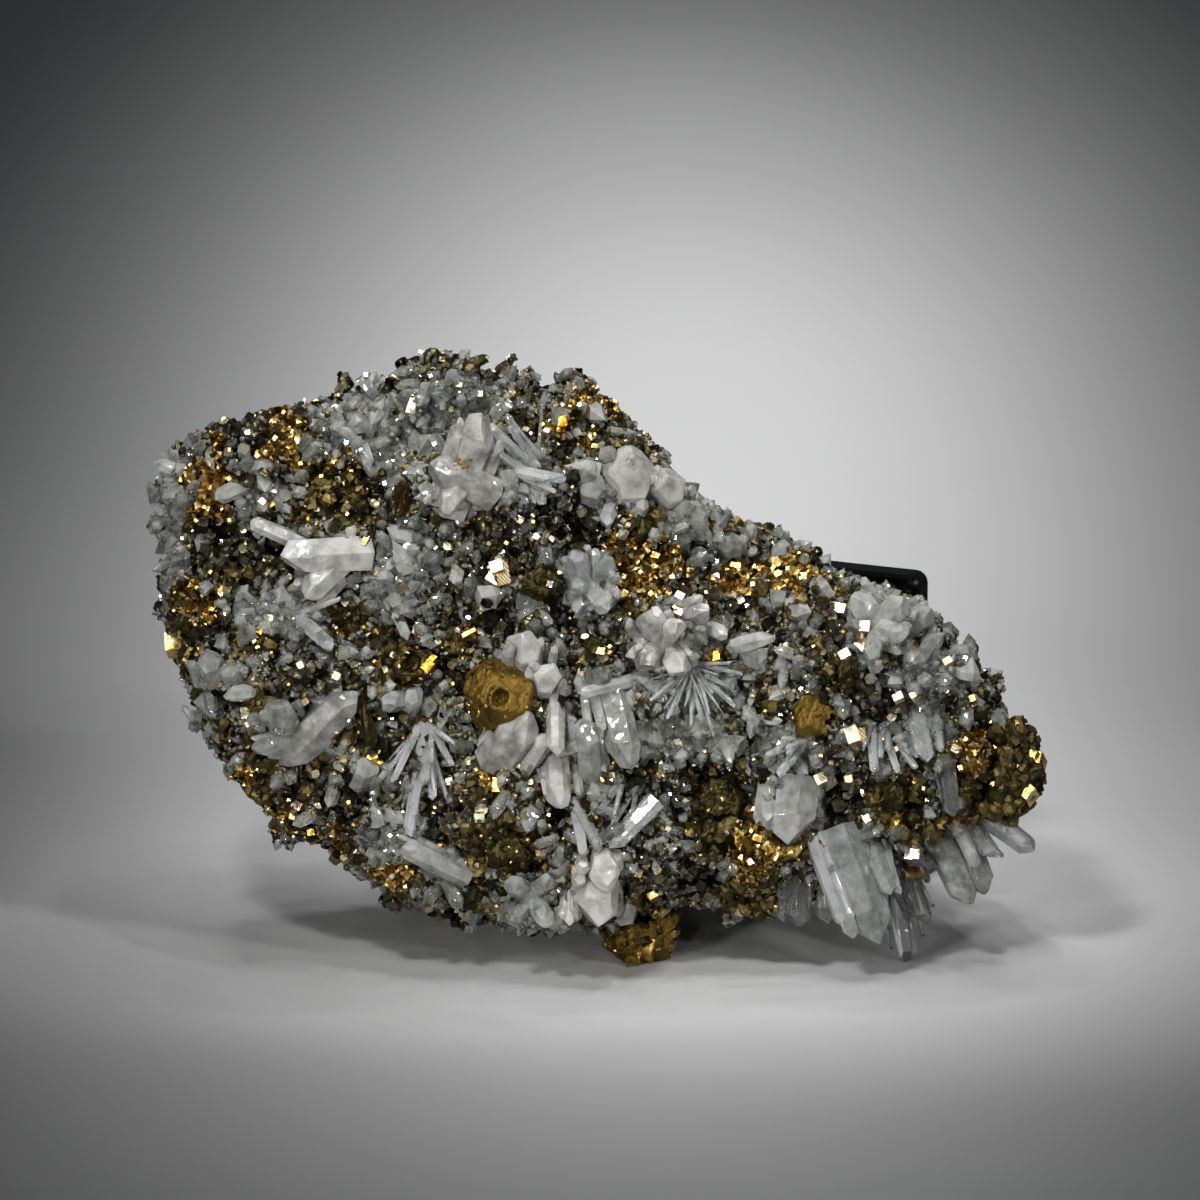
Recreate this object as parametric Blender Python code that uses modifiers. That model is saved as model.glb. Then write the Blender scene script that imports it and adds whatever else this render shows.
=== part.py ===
"""A cabinet specimen of chalcopyrite with quartz and pyrite, leaning on a black acrylic bracket.

The specimen is modelled flat, in face space: x to the right, y up the face, z towards the viewer,
all from the lowest tip. An empty then leans it back on its stand. Metres, +Z up, and the
origin is under the middle of the whole thing.
"""

import math
import random

import bmesh
import bpy
from mathutils import Matrix, Vector, noise
from mathutils.bvhtree import BVHTree

MM = 0.001
SEED = 11
ROCK_SEED = 9

# The specimen
LEAN = math.radians(15)
FRONT_EDGE = 2.2
FRONT_MIDDLE = 8.0
BACK_EDGE = -6.0
BACK_MIDDLE = -18.0
FRONT_ROUND = 8.0
BACK_ROUND = 12.0
OUTLINE_INSET = 0.55
SLAB_HALF = 8.0
REMESH_SIZE = 1.25
BACK_TRIANGLES = 520
ROCK_TRIANGLES = 1900
DRESSED_ROCK_TRIANGLES = 5450
DECIMATE_TRIES = 8
DECIMATE_EASE = 1.025
BACK_STARTS = -2.0
CRYSTAL_TRIANGLES = 29
LUMP_COUNTS_AS = 2
FLOOR = 0.9
FIT_GAP = 0.4
ROCK_GAP = 0.45
SLIVER = 0.004
LUMP_ROOT = 2.2
PYRITE_ROOT = 1.4
LUMP_GROWTH = 2.3

# Swells and dips of the leaning face: x, y, radius, height
FRONT_RELIEF = [
    (-26.0, 48.0, 5.0, -2.6),
    (14.5, 41.0, 3.6, -2.2),
    (24.0, 17.0, 4.2, -3.0),
    (12.5, 19.5, 4.5, -2.6),
    (-4.0, 35.0, 3.6, -2.4),
    (4.0, 17.0, 3.0, -1.8),
    (-28.5, 18.3, 3.2, -2.0),
    (-17.5, 30.0, 3.5, -1.6),
    (-13.0, 47.0, 7.0, 2.6),
    (-4.0, 28.0, 8.0, 2.4),
    (6.0, 33.0, 6.0, 1.8),
    (-31.0, 25.0, 7.0, 1.6),
    (21.0, 27.0, 6.0, 1.8),
    (29.0, 30.0, 7.0, 1.5),
    (26.0, 9.0, 6.0, 1.6),
    (-2.0, 8.0, 6.0, 2.2),
    (-15.0, 13.0, 6.0, 1.4),
    (-20.0, 40.0, 7.0, 1.2),
]
# The same on the hidden back. The first is the heel that the stone stands on, and the second
# is the swell that leans on the bracket.
BACK_RELIEF = [
    (-12.0, 6.0, 8.0, -11.0),
    (24.5, 27.0, 7.0, -3.5),
    (-20.0, 40.0, 9.0, -3.0),
    (0.0, 44.0, 8.0, 2.5),
    (36.0, 22.0, 6.0, 2.5),
    (8.0, 20.0, 9.0, -2.0),
    (-34.0, 30.0, 8.0, 2.2),
]

# The rock's outline seen square on, clockwise from the left end
ROCK_OUTLINE = [
    (-44.5, 47.3),
    (-44.0, 50.5),
    (-42.0, 51.7),
    (-41.0, 52.9),
    (-39.2, 53.4),
    (-36.0, 55.0),
    (-33.8, 55.7),
    (-30.7, 56.1),
    (-28.5, 57.0),
    (-26.0, 57.6),
    (-23.5, 58.2),
    (-21.8, 58.9),
    (-20.0, 59.9),
    (-18.2, 60.8),
    (-17.0, 61.4),
    (-14.5, 61.4),
    (-12.3, 60.8),
    (-10.5, 59.6),
    (-7.5, 59.1),
    (-5.5, 57.9),
    (-2.5, 58.3),
    (0.5, 57.3),
    (2.5, 55.3),
    (4.5, 53.6),
    (6.8, 51.3),
    (8.0, 48.9),
    (10.0, 47.4),
    (12.2, 45.4),
    (14.8, 45.1),
    (16.3, 43.7),
    (18.5, 43.3),
    (20.3, 41.9),
    (22.5, 40.7),
    (25.7, 39.1),
    (29.0, 38.3),
    (31.0, 37.9),
    (32.8, 36.5),
    (34.0, 35.0),
    (35.5, 33.2),
    (36.5, 30.9),
    (38.5, 28.9),
    (40.0, 26.6),
    (41.0, 23.5),
    (41.2, 19.5),
    (40.0, 16.5),
    (38.0, 14.6),
    (35.0, 13.0),
    (32.0, 11.4),
    (29.0, 10.0),
    (26.0, 8.6),
    (23.0, 7.4),
    (20.0, 6.6),
    (17.0, 5.4),
    (14.0, 5.2),
    (11.8, 6.7),
    (9.7, 7.0),
    (7.6, 6.2),
    (5.6, 5.0),
    (3.0, 4.4),
    (0.5, 4.2),
    (-1.0, 3.9),
    (-4.0, 3.8),
    (-6.5, 3.8),
    (-9.2, 3.9),
    (-11.0, 4.9),
    (-13.7, 5.0),
    (-16.0, 6.0),
    (-18.9, 5.8),
    (-20.5, 7.0),
    (-22.8, 8.6),
    (-24.5, 10.4),
    (-26.0, 11.8),
    (-28.8, 13.3),
    (-31.0, 13.2),
    (-33.0, 15.5),
    (-35.2, 18.0),
    (-36.7, 20.0),
    (-38.5, 22.0),
    (-39.7, 24.8),
    (-40.7, 27.4),
    (-42.2, 29.0),
    (-42.3, 31.4),
    (-43.3, 33.8),
    (-43.7, 36.5),
    (-43.5, 39.5),
    (-43.8, 42.2),
    (-44.3, 45.5),
]

# The quartz that stands out by itself. Each node is one crystal or several grown together, and
# each crystal is: root x, y, tip x, y, width, rise of the tip over the rock at the root
QUARTZ = {
    "quartz_spindle": [(-31.9, 20.6, -24.2, 28.3, 4.7, 2.6)],
    "quartz_t_crystal": [
        (1.0, 27.8, 2.9, 20.3, 3.9, 3.2),
        (4.6, 29.3, -2.2, 27.6, 1.9, 3.4),
    ],
    "quartz_bright_prism": [(5.1, 16.6, 0.9, 12.2, 2.4, 4.2)],
    "quartz_white_upper": [
        (-14.6, 46.6, -11.2, 55.4, 4.6, 3.4),
        (-11.4, 47.8, -17.0, 50.6, 4.4, 2.8),
        (-13.2, 49.0, -16.2, 45.6, 3.6, 2.6),
    ],
    "quartz_white_left": [
        (-24.0, 41.6, -31.8, 41.2, 4.6, 2.4),
        (-25.4, 41.4, -29.6, 37.2, 3.4, 2.6),
        (-28.6, 42.2, -34.8, 44.9, 2.1, 3.2),
    ],
    "quartz_pair_left": [
        (-31.6, 25.0, -31.8, 26.2, 4.0, 4.2),
        (-31.0, 22.9, -34.6, 22.6, 3.2, 1.6),
    ],
    "quartz_double_point": [(-34.0, 27.9, -37.5, 27.6, 1.8, 2.2)],
    "quartz_lobes_left": [
        (-38.4, 29.6, -38.9, 31.8, 3.0, 2.4),
        (-36.6, 29.2, -37.0, 30.6, 2.6, 2.2),
    ],
    "quartz_facet_left": [
        (-29.6, 34.9, -26.4, 32.2, 2.0, 2.8),
        (-29.4, 35.8, -25.6, 37.2, 0.8, 2.4),
    ],
    "quartz_sheaf_upper": [
        (-7.2, 50.6, -11.0, 54.4, 1.5, 3.4),
        (-6.6, 51.6, -9.4, 55.4, 1.2, 2.8),
        (-8.0, 50.0, -11.8, 52.8, 1.2, 2.6),
        (-8.2, 49.8, -3.4, 48.9, 1.6, 2.4),
        (-7.0, 48.4, -5.4, 46.6, 1.5, 2.2),
    ],
    "quartz_knob_upper": [
        (2.8, 48.8, 3.6, 51.0, 6.0, 3.2),
        (6.6, 47.6, 7.0, 49.4, 4.4, 3.4),
        (0.6, 50.8, 0.8, 51.8, 2.2, 2.6),
    ],
    "quartz_pair_upper": [
        (-0.8, 47.4, -0.6, 48.9, 3.2, 2.8),
        (1.0, 45.8, 0.4, 44.4, 1.9, 2.2),
    ],
    "quartz_pair_shoulder": [
        (10.0, 43.6, 9.8, 46.2, 2.2, 2.4),
        (12.8, 41.9, 13.0, 43.8, 3.4, 2.2),
    ],
    "quartz_clear_cluster": [
        (-1.4, 38.8, -2.6, 42.2, 2.8, 3.2),
        (-0.6, 39.0, 1.4, 40.8, 2.5, 3.0),
        (-1.2, 38.2, -3.0, 38.4, 2.4, 2.8),
        (-0.8, 38.0, 0.9, 35.9, 2.6, 3.4),
        (-1.6, 37.6, -2.2, 35.8, 2.2, 2.6),
    ],
    "quartz_white_group": [
        (5.8, 33.4, 4.2, 36.0, 3.2, 2.8),
        (6.6, 33.2, 7.8, 34.9, 2.9, 3.0),
        (5.6, 32.2, 4.0, 30.8, 3.4, 3.4),
        (7.0, 31.8, 8.2, 29.9, 3.2, 3.2),
        (8.8, 35.4, 10.9, 35.9, 2.6, 2.0),
        (10.8, 34.2, 12.6, 33.6, 1.9, 2.2),
    ],
    "quartz_bar_shoulder": [(12.4, 32.2, 17.4, 33.5, 2.3, 2.4)],
    "quartz_block_middle": [
        (-7.4, 30.6, -7.7, 33.6, 4.2, 3.4),
        (-5.6, 28.6, -5.0, 30.0, 3.4, 3.2),
        (-4.4, 27.3, -4.4, 21.4, 2.3, 2.8),
        (-4.4, 21.6, -4.2, 16.2, 3.2, 3.2),
    ],
    "quartz_plate_middle": [(-9.9, 21.6, -6.9, 26.0, 5.2, 3.6)],
    "quartz_window": [(-1.0, 20.0, -1.5, 25.3, 3.4, 3.4)],
    "quartz_clear_prisms": [
        (2.6, 19.8, -0.2, 15.8, 1.2, 3.0),
        (3.8, 19.0, 1.2, 14.6, 1.2, 3.6),
        (-2.3, 16.4, 0.2, 12.0, 1.8, 2.0),
    ],
    "quartz_milky_foot": [
        (0.2, 11.2, 0.6, 9.2, 4.0, 4.4),
        (-0.4, 8.4, -0.6, 4.4, 4.8, 2.2),
    ],
    "quartz_cluster_foot": [
        (-6.8, 7.6, -9.2, 9.2, 2.4, 2.6),
        (-6.6, 7.8, -4.6, 9.6, 2.3, 2.8),
        (-7.2, 7.0, -9.0, 5.0, 2.4, 2.2),
        (-6.4, 7.0, -4.9, 4.7, 2.4, 2.4),
    ],
    "quartz_needles_left": [
        (-17.2, 23.6, -19.0, 13.4, 2.0, 3.2),
        (-16.8, 22.8, -16.6, 17.0, 1.3, 3.0),
        (-17.0, 24.6, -14.6, 20.4, 1.1, 2.6),
        (-18.2, 24.0, -20.6, 18.8, 1.1, 2.4),
    ],
    "quartz_bar_foot": [
        (-13.9, 9.9, -19.8, 12.7, 3.0, 2.2),
    ],
    "quartz_stub_left": [(-23.6, 19.4, -22.8, 21.0, 3.0, 2.4)],
    "quartz_mass_left": [
        (-19.8, 27.0, -21.4, 26.8, 2.4, 2.4),
        (-18.8, 26.4, -18.2, 28.2, 2.4, 2.2),
        (-17.6, 26.6, -16.4, 25.8, 2.0, 2.2),
    ],
    "quartz_spray_middle": [
        (9.4, 30.0, 11.3, 23.4, 0.8, 4.2),
        (9.2, 29.6, 9.0, 24.4, 0.8, 3.4),
        (8.8, 29.6, 6.6, 25.2, 0.8, 3.0),
        (8.6, 30.0, 4.9, 27.0, 0.8, 2.6),
        (9.8, 29.8, 13.4, 26.4, 0.9, 3.0),
        (9.8, 30.6, 14.2, 29.6, 0.8, 2.6),
    ],
    "quartz_sheaf_right": [
        (20.2, 22.8, 17.6, 19.6, 1.3, 2.6),
        (19.4, 22.8, 16.4, 21.6, 1.0, 2.2),
    ],
    "quartz_mass_right": [
        (27.4, 35.0, 25.2, 37.6, 3.4, 2.4),
        (28.4, 35.2, 30.4, 37.4, 3.4, 2.2),
        (28.0, 34.2, 30.8, 33.4, 2.8, 2.8),
        (27.6, 33.8, 26.6, 31.0, 2.4, 2.8),
        (31.2, 34.6, 33.0, 36.2, 3.2, 1.8),
    ],
    "quartz_needles_right": [
        (27.0, 24.8, 27.2, 19.8, 1.4, 3.0),
        (29.4, 23.2, 31.4, 20.2, 1.1, 2.8),
        (28.2, 24.2, 29.6, 19.8, 1.1, 2.4),
    ],
    "quartz_tapered_right": [
        (31.4, 25.6, 32.4, 20.8, 2.4, 2.6),
        (33.4, 26.0, 33.8, 21.8, 1.2, 2.4),
    ],
    "quartz_drop_right": [(34.4, 20.4, 34.9, 15.6, 2.2, 2.6)],
    "quartz_grey_hollow": [(19.4, 18.0, 18.6, 12.4, 5.2, 2.2)],
    "quartz_large_prism": [
        (24.0, 13.4, 27.8, 2.8, 5.0, 1.6),
        (27.0, 12.6, 28.9, 7.4, 2.5, 3.0),
    ],
    "quartz_foot_tips": [
        (29.6, 9.2, 30.9, 0.5, 2.5, 0.6),
        (30.2, 10.2, 32.6, 4.4, 2.6, 1.8),
    ],
    "quartz_lobes_right": [
        (34.0, 13.0, 37.0, 6.2, 3.6, 1.4),
        (36.2, 12.8, 38.8, 7.6, 2.8, 1.8),
    ],
    "quartz_end_right": [
        (38.6, 15.4, 43.5, 11.7, 2.8, 1.4),
        (36.8, 14.6, 39.6, 11.0, 2.2, 1.8),
    ],
    "quartz_fringe_foot": [
        (22.4, 8.6, 22.4, 4.6, 2.4, 0.8),
        (19.6, 8.8, 19.5, 4.3, 2.6, 1.2),
    ],
}
SPINDLES = ("quartz_spindle", "quartz_double_point", "quartz_bar_shoulder")

# The larger sulphide crystals and masses: centre x, y, width, height, standing out of the rock,
# turn in degrees, number of flat faces, and the radius of a pit in the front, or 0
CHALCOPYRITE = {
    "chalcopyrite_golden_pitted": (-9.8, 27.4, 7.4, 8.4, 3.6, 20, 16, 1.1),
    "chalcopyrite_olive_pitted": (-6.4, 38.8, 6.6, 5.2, 2.8, -10, 20, 0.7),
    "chalcopyrite_foot_tip": (4.0, 4.4, 7.4, 8.8, 3.0, 12, 12, 0),
    "chalcopyrite_right_end": (40.2, 20.2, 8.4, 11.0, 3.4, 8, 20, 0),
    "chalcopyrite_brassy_holed": (21.2, 25.4, 5.4, 6.0, 2.8, 0, 14, 0.45),
    "chalcopyrite_olive_right": (24.0, 30.1, 3.6, 2.8, 1.8, 30, 12, 0),
    "chalcopyrite_ball_right": (29.3, 17.6, 3.2, 3.8, 2.2, 0, 16, 0),
    "chalcopyrite_iridescent": (31.1, 11.6, 3.8, 3.2, 2.2, 25, 12, 0),
    "chalcopyrite_dark_mass": (11.8, 16.2, 5.6, 7.4, 2.4, -8, 18, 0),
    "chalcopyrite_olive_mass": (-9.4, 12.4, 7.2, 6.2, 2.4, 10, 18, 0.6),
    "chalcopyrite_bronze_hollow": (-18.8, 30.8, 6.0, 4.6, 2.4, 15, 16, 1.6),
    "chalcopyrite_rod": (-23.0, 24.6, 1.8, 5.6, 2.0, 12, 10, 0),
    "chalcopyrite_ball_middle": (-0.2, 32.2, 2.9, 2.9, 2.0, 0, 14, 0),
    "chalcopyrite_flat_upper": (4.1, 44.0, 3.6, 3.8, 1.6, 18, 12, 0),
    "chalcopyrite_striated_block": (-19.2, 46.8, 2.4, 4.4, 2.0, 4, 8, 0),
}

# The pieces that nothing else bites into
WHOLE = (
    "chalcopyrite_golden_pitted",
    "chalcopyrite_brassy_holed",
    "quartz_spindle",
    "quartz_needles_left",
    "quartz_t_crystal",
)

# Pale pyrite blocks: centre x, y, width, height, standing out of the rock, turn in degrees
PYRITE = {
    "pyrite_block_right": (26.2, 34.0, 2.2, 3.4, 1.6, -14),
    "pyrite_block_edge": (25.0, 23.7, 2.0, 1.7, 1.4, 6),
    "pyrite_facet_middle": (-10.3, 39.8, 1.6, 2.6, 1.6, 10),
    "pyrite_facet_hollow": (21.9, 19.3, 1.8, 1.6, 1.4, 30),
}

# Places where the small druse is golden instead of quartz: x, y, radius
GOLDEN_DRUSE = [
    (-31.0, 52.5, 3.4),
    (-38.5, 51.0, 4.0),
    (-40.0, 37.0, 3.6),
    (-0.8, 57.0, 3.4),
    (5.0, 41.0, 4.4),
    (13.5, 38.6, 2.6),
    (17.8, 40.0, 3.0),
    (16.0, 12.6, 4.0),
    (-32.0, 15.5, 3.4),
    (-20.0, 9.4, 2.6),
    (33.0, 16.0, 3.0),
    (-35.5, 47.0, 3.0),
    (-22.0, 47.5, 4.0),
]
SMALL_CRYSTAL = 2.0
ROOT_STAND = 1.1
ROOT_SPREAD = 0.6
DRUSE_SPACING = 2.1
DRUSE_COUNT = 150
DRUSE_WIDTH = (1.2, 2.6)
DRUSE_LENGTH = (1.5, 3.4)

# A small sulphide crystal's corners, for a width of about 2
WEDGE = [
    (1, 0, 0.5),
    (-0.8, 0.7, 0.4),
    (-0.3, -1, 0.6),
    (0.2, 0.3, 1.2),
    (-0.9, -0.4, -1),
    (0.8, 0.8, -1),
    (0.5, -0.8, -1),
]

# The bracket behind: a bent acrylic sheet, its right end nearer the viewer
BRACKET_WIDTH = 42.0
BRACKET_HEIGHT = 32.5
BRACKET_FOOT = 24.0
BRACKET_SHEET = 3.0
BRACKET_YAW = math.radians(23)
BRACKET_RIGHT_END = 32.3
BRACKET_EDGE = 0.35
BRACKET_CORNER = 1.2

LEAN_TURN = Matrix.Rotation(math.pi / 2 - LEAN, 4, "X")


def clear_scene():
    for obj in list(bpy.data.objects):
        bpy.data.objects.remove(obj)


def new_collection(name):
    collection = bpy.data.collections.new(name)
    bpy.context.scene.collection.children.link(collection)
    return collection


def material(name, color, roughness, metallic, transmission=0.0):
    made = bpy.data.materials.new(name)
    made.use_nodes = True
    shader = made.node_tree.nodes["Principled BSDF"]
    shader.inputs["Base Color"].default_value = (*color, 1)
    shader.inputs["Roughness"].default_value = roughness
    shader.inputs["Metallic"].default_value = metallic
    shader.inputs["Transmission Weight"].default_value = transmission
    made.diffuse_color = (*color, 1)
    return made


def object_from(bm, name, collection):
    """A new object that holds this bmesh, its faces pointing out."""
    bmesh.ops.recalc_face_normals(bm, faces=bm.faces)
    mesh = bpy.data.meshes.new(name)
    bm.to_mesh(mesh)
    bm.free()
    obj = bpy.data.objects.new(name, mesh)
    collection.objects.link(obj)
    return obj


def hide_cutter(obj):
    obj.hide_render = True
    obj.display_type = "WIRE"


def bake(obj):
    """The modifiers' result as the object's own mesh."""
    bpy.context.view_layer.update()
    graph = bpy.context.evaluated_depsgraph_get()
    old = obj.data
    obj.data = bpy.data.meshes.new_from_object(obj.evaluated_get(graph))
    obj.modifiers.clear()
    bpy.data.meshes.remove(old)
    obj.data.name = obj.name


def boolean(obj, other, operation, overlapping=False):
    modifier = obj.modifiers.new(operation.lower(), "BOOLEAN")
    modifier.operation = operation
    modifier.solver = "EXACT"
    modifier.use_self = overlapping
    modifier.object = other
    bake(obj)


def keep_largest(obj):
    """Drops the crumbs that a cut leaves loose beside the main body."""
    bm = bmesh.new()
    bm.from_mesh(obj.data)
    bmesh.ops.dissolve_degenerate(bm, edges=bm.edges, dist=SLIVER * MM)
    seen = set()
    islands = []
    for first in bm.verts:
        if first in seen:
            continue
        seen.add(first)
        reached = [first]
        for vert in reached:
            for edge in vert.link_edges:
                other = edge.other_vert(vert)
                if other not in seen:
                    seen.add(other)
                    reached.append(other)
        islands.append(reached)
    islands.sort(key=len)
    crumbs = [vert for island in islands[:-1] for vert in island]
    bmesh.ops.delete(bm, geom=crumbs, context="VERTS")
    bm.to_mesh(obj.data)
    bm.free()


def segment_distance(point, start, end):
    """How far a point of the plane lies from a segment, and the nearest point there."""
    along = end - start
    share = (point - start).dot(along) / max(along.length_squared, 1e-9)
    nearest = start + along * min(max(share, 0), 1)
    return (point - nearest).length, nearest


def rounding(distance, radius):
    """0 on the outline and 1 past the rounded edge, along a quarter circle."""
    share = min(distance / radius, 1)
    return math.sqrt(1 - (1 - share) ** 2)


def relief(place, swells):
    height = 0
    for x, y, radius, rise in swells:
        away = (place - Vector((x, y))).length / radius
        height += rise * math.exp(-away * away)
    return height


def rock_slab(collection):
    """The outline as a flat filled curve, extruded and remeshed to even faces."""
    curve = bpy.data.curves.new("rock_slab", "CURVE")
    curve.dimensions = "2D"
    curve.fill_mode = "BOTH"
    curve.extrude = SLAB_HALF * MM
    spline = curve.splines.new("POLY")
    spline.points.add(len(ROCK_OUTLINE) - 1)
    for point, (x, y) in zip(spline.points, ROCK_OUTLINE):
        point.co = (x * MM, y * MM, 0, 1)
    spline.use_cyclic_u = True
    flat = bpy.data.objects.new("rock_slab", curve)
    collection.objects.link(flat)
    graph = bpy.context.evaluated_depsgraph_get()
    bm = bmesh.new()
    bm.from_mesh(bpy.data.meshes.new_from_object(flat.evaluated_get(graph)))
    bpy.data.objects.remove(flat)
    bmesh.ops.remove_doubles(bm, verts=bm.verts, dist=0.01 * MM)
    slab = object_from(bm, "matrix", collection)
    remesh = slab.modifiers.new("even_faces", "REMESH")
    remesh.mode = "VOXEL"
    remesh.voxel_size = REMESH_SIZE * MM
    bake(slab)
    return slab


def shape_rock(rock):
    """Moves each point of the slab to the rock's front, back or broken edge."""
    corners = [Vector(corner) for corner in ROCK_OUTLINE]
    sides = list(zip(corners, corners[1:] + corners[:1]))
    for vert in rock.data.vertices:
        x, y, z = vert.co / MM
        place = Vector((x, y))
        distance, edge = min(
            (segment_distance(place, start, end) for start, end in sides), key=lambda found: found[0]
        )
        inward = (place - edge).normalized() if distance > 0.7 else -edge_normal(place)
        front = FRONT_EDGE + (FRONT_MIDDLE - FRONT_EDGE) * rounding(distance, FRONT_ROUND)
        front += relief(place, FRONT_RELIEF)
        back = BACK_EDGE + (BACK_MIDDLE - BACK_EDGE) * rounding(distance, BACK_ROUND)
        back += relief(place, BACK_RELIEF)
        share = (z / SLAB_HALF + 1) / 2
        depth = back + (front - back) * share
        place += inward * OUTLINE_INSET * max(0, 1 - distance / 3)
        point = Vector((place.x, place.y, depth))
        coarse = noise.noise_vector(point / 8.0) * 2.2
        fine = noise.noise_vector(point / 2.9) * 1.9
        steps = noise.noise_vector(point / 4.6 + Vector((31, 7, 5)))
        shift = coarse + fine
        shift.z += round(steps.z * 3) * 0.55
        near_outline = max(0.25, min(distance / 3, 1))
        shift.x *= 0.6 * near_outline
        shift.y *= 0.6 * near_outline
        vert.co = (point + shift) * MM


def edge_normal(place):
    """Outwards in the plane, for a place on the outline: away from the slab's long middle line."""
    _, middle = segment_distance(place, Vector((-28, 38)), Vector((26, 22)))
    return (place - middle).normalized()


def is_closed(mesh):
    bm = bmesh.new()
    bm.from_mesh(mesh)
    closed = all(edge.is_manifold for edge in bm.edges)
    bm.free()
    return closed


def decimate(obj, triangles):
    """Leaves about this many triangles, or a few more where that many would open the surface."""
    obj.data.calc_loop_triangles()
    ratio = triangles / len(obj.data.loop_triangles)
    for _ in range(DECIMATE_TRIES):
        kept = obj.data.copy()
        modifier = obj.modifiers.new("fewer_faces", "DECIMATE")
        modifier.use_collapse_triangulate = True
        modifier.ratio = min(ratio, 1)
        bake(obj)
        if is_closed(obj.data):
            return
        obj.data = kept
        ratio *= DECIMATE_EASE
    print("left as it was:", obj.name)


def decimate_back(obj, triangles):
    """Thins the hidden back alone, so that the face keeps its relief."""
    obj.data.calc_loop_triangles()
    count = len(obj.data.loop_triangles)
    chosen = [vert.index for vert in obj.data.vertices if vert.co.z < BACK_STARTS * MM]
    group = obj.vertex_groups.new(name="hidden_side")
    group.add(chosen, 1, "REPLACE")
    modifier = obj.modifiers.new("fewer_faces", "DECIMATE")
    modifier.vertex_group = group.name
    modifier.ratio = 1 - len(chosen) / len(obj.data.vertices) + triangles / count
    bake(obj)
    obj.vertex_groups.clear()


def grown_copy(obj, name, collection, by):
    """A copy whose surface lies this far outside, to cut what stands on it with a gap."""
    bm = bmesh.new()
    bm.from_mesh(obj.data)
    bm.normal_update()
    moved = [(vert, vert.co + vert.normal * vert.calc_shell_factor() * by * MM) for vert in bm.verts]
    for vert, place in moved:
        vert.co = place
    return object_from(bm, name, collection)


class Surface:
    """The rock as seen square on: the depth of its front at a place of the face."""

    def __init__(self, rock):
        bm = bmesh.new()
        bm.from_mesh(rock.data)
        self.tree = BVHTree.FromBMesh(bm)
        bm.free()

    def depth(self, x, y):
        start = Vector((x, y, 60)) * MM
        found, _, _, _ = self.tree.ray_cast(start, Vector((0, 0, -1)))
        if found is None:
            found, _, _, _ = self.tree.find_nearest(Vector((x, y, 0)) * MM)
        return found.z / MM


def frame_along(start, end, turn):
    """Two directions square to the line and to each other, turned about it."""
    along = (end - start).normalized()
    side = along.cross(Vector((0.2, 0.3, 1))).normalized()
    side.rotate(Matrix.Rotation(turn, 3, along))
    return along, side, along.cross(side)


def add_hull(bm, points):
    """The convex crystal whose corners these are."""
    verts = [bm.verts.new(point * MM) for point in points]
    made = bmesh.ops.convex_hull(bm, input=verts)
    spare = [item for item in made["geom_interior"] if isinstance(item, bmesh.types.BMVert)]
    bmesh.ops.delete(bm, geom=spare, context="VERTS")


def quartz_points(start, end, width, dice, spindle, grow):
    """The corners of a six-sided crystal that ends in a skewed six-sided point."""
    along, side, across = frame_along(start, end, dice.uniform(0, math.pi / 3))
    start = start - along * grow
    end = end + along * grow * 1.4
    length = (end - start).length
    radius = width / 2 + grow
    point = min(0.34 * length, 0.62 * width)
    flat = dice.uniform(0.76, 1)
    shoulder = (1 - point / length, dice.uniform(0.84, 0.98))
    rings = [(0.0, 1.0), shoulder]
    if spindle:
        rings = [(0.0, 0.5), (0.45, 1.0), (shoulder[0], 0.72)]
    points = []
    for share, size in rings:
        for corner in range(6):
            angle = math.radians(60 * corner)
            skew = dice.uniform(-0.10, 0.10) * point / length if share > 0.5 else 0
            out = side * math.cos(angle) + across * math.sin(angle) * flat
            points.append(start + along * (share + skew) * length + out * radius * size)
    slip = (side * dice.uniform(-0.3, 0.3) + across * dice.uniform(-0.2, 0.2)) * radius
    points.append(end + slip)
    if width > SMALL_CRYSTAL:
        points.append(end + slip * 0.4 + side * 0.2 * radius)
    if spindle:
        points.append(start - along * 0.5 * radius)
    return points


def add_quartz(bm, surface, crystal, dice, spindle, grow=0.0):
    root_x, root_y, tip_x, tip_y, width, rise = crystal
    ground = surface.depth(root_x, root_y)
    start = Vector((root_x, root_y, ground + (0.9 if spindle else -0.3) - 0.1 * width))
    end = Vector((tip_x, tip_y, ground + rise))
    add_hull(bm, quartz_points(start, end, width, dice, spindle, grow))


def add_shared_root(bm, surface, crystals, dice, grow=0.0):
    """The low knob of quartz that a group of crystals has grown out of together."""
    roots = [Vector((crystal[0], crystal[1])) for crystal in crystals]
    middle = sum(roots, Vector((0, 0))) / len(roots)
    thin = min(crystal[4] for crystal in crystals)
    points = []
    for root in roots + [middle]:
        for corner in range(5):
            angle = math.radians(72 * corner + 20) + dice.uniform(-0.2, 0.2)
            reach = 0.4 * thin + ROOT_SPREAD + grow
            x = root.x + reach * math.cos(angle)
            y = root.y + reach * math.sin(angle)
            ground = surface.depth(root.x, root.y)
            points.append(Vector((x, y, ground + ROOT_STAND + grow)))
            points.append(Vector((x, y, ground - 1.5)))
    add_hull(bm, points)


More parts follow.
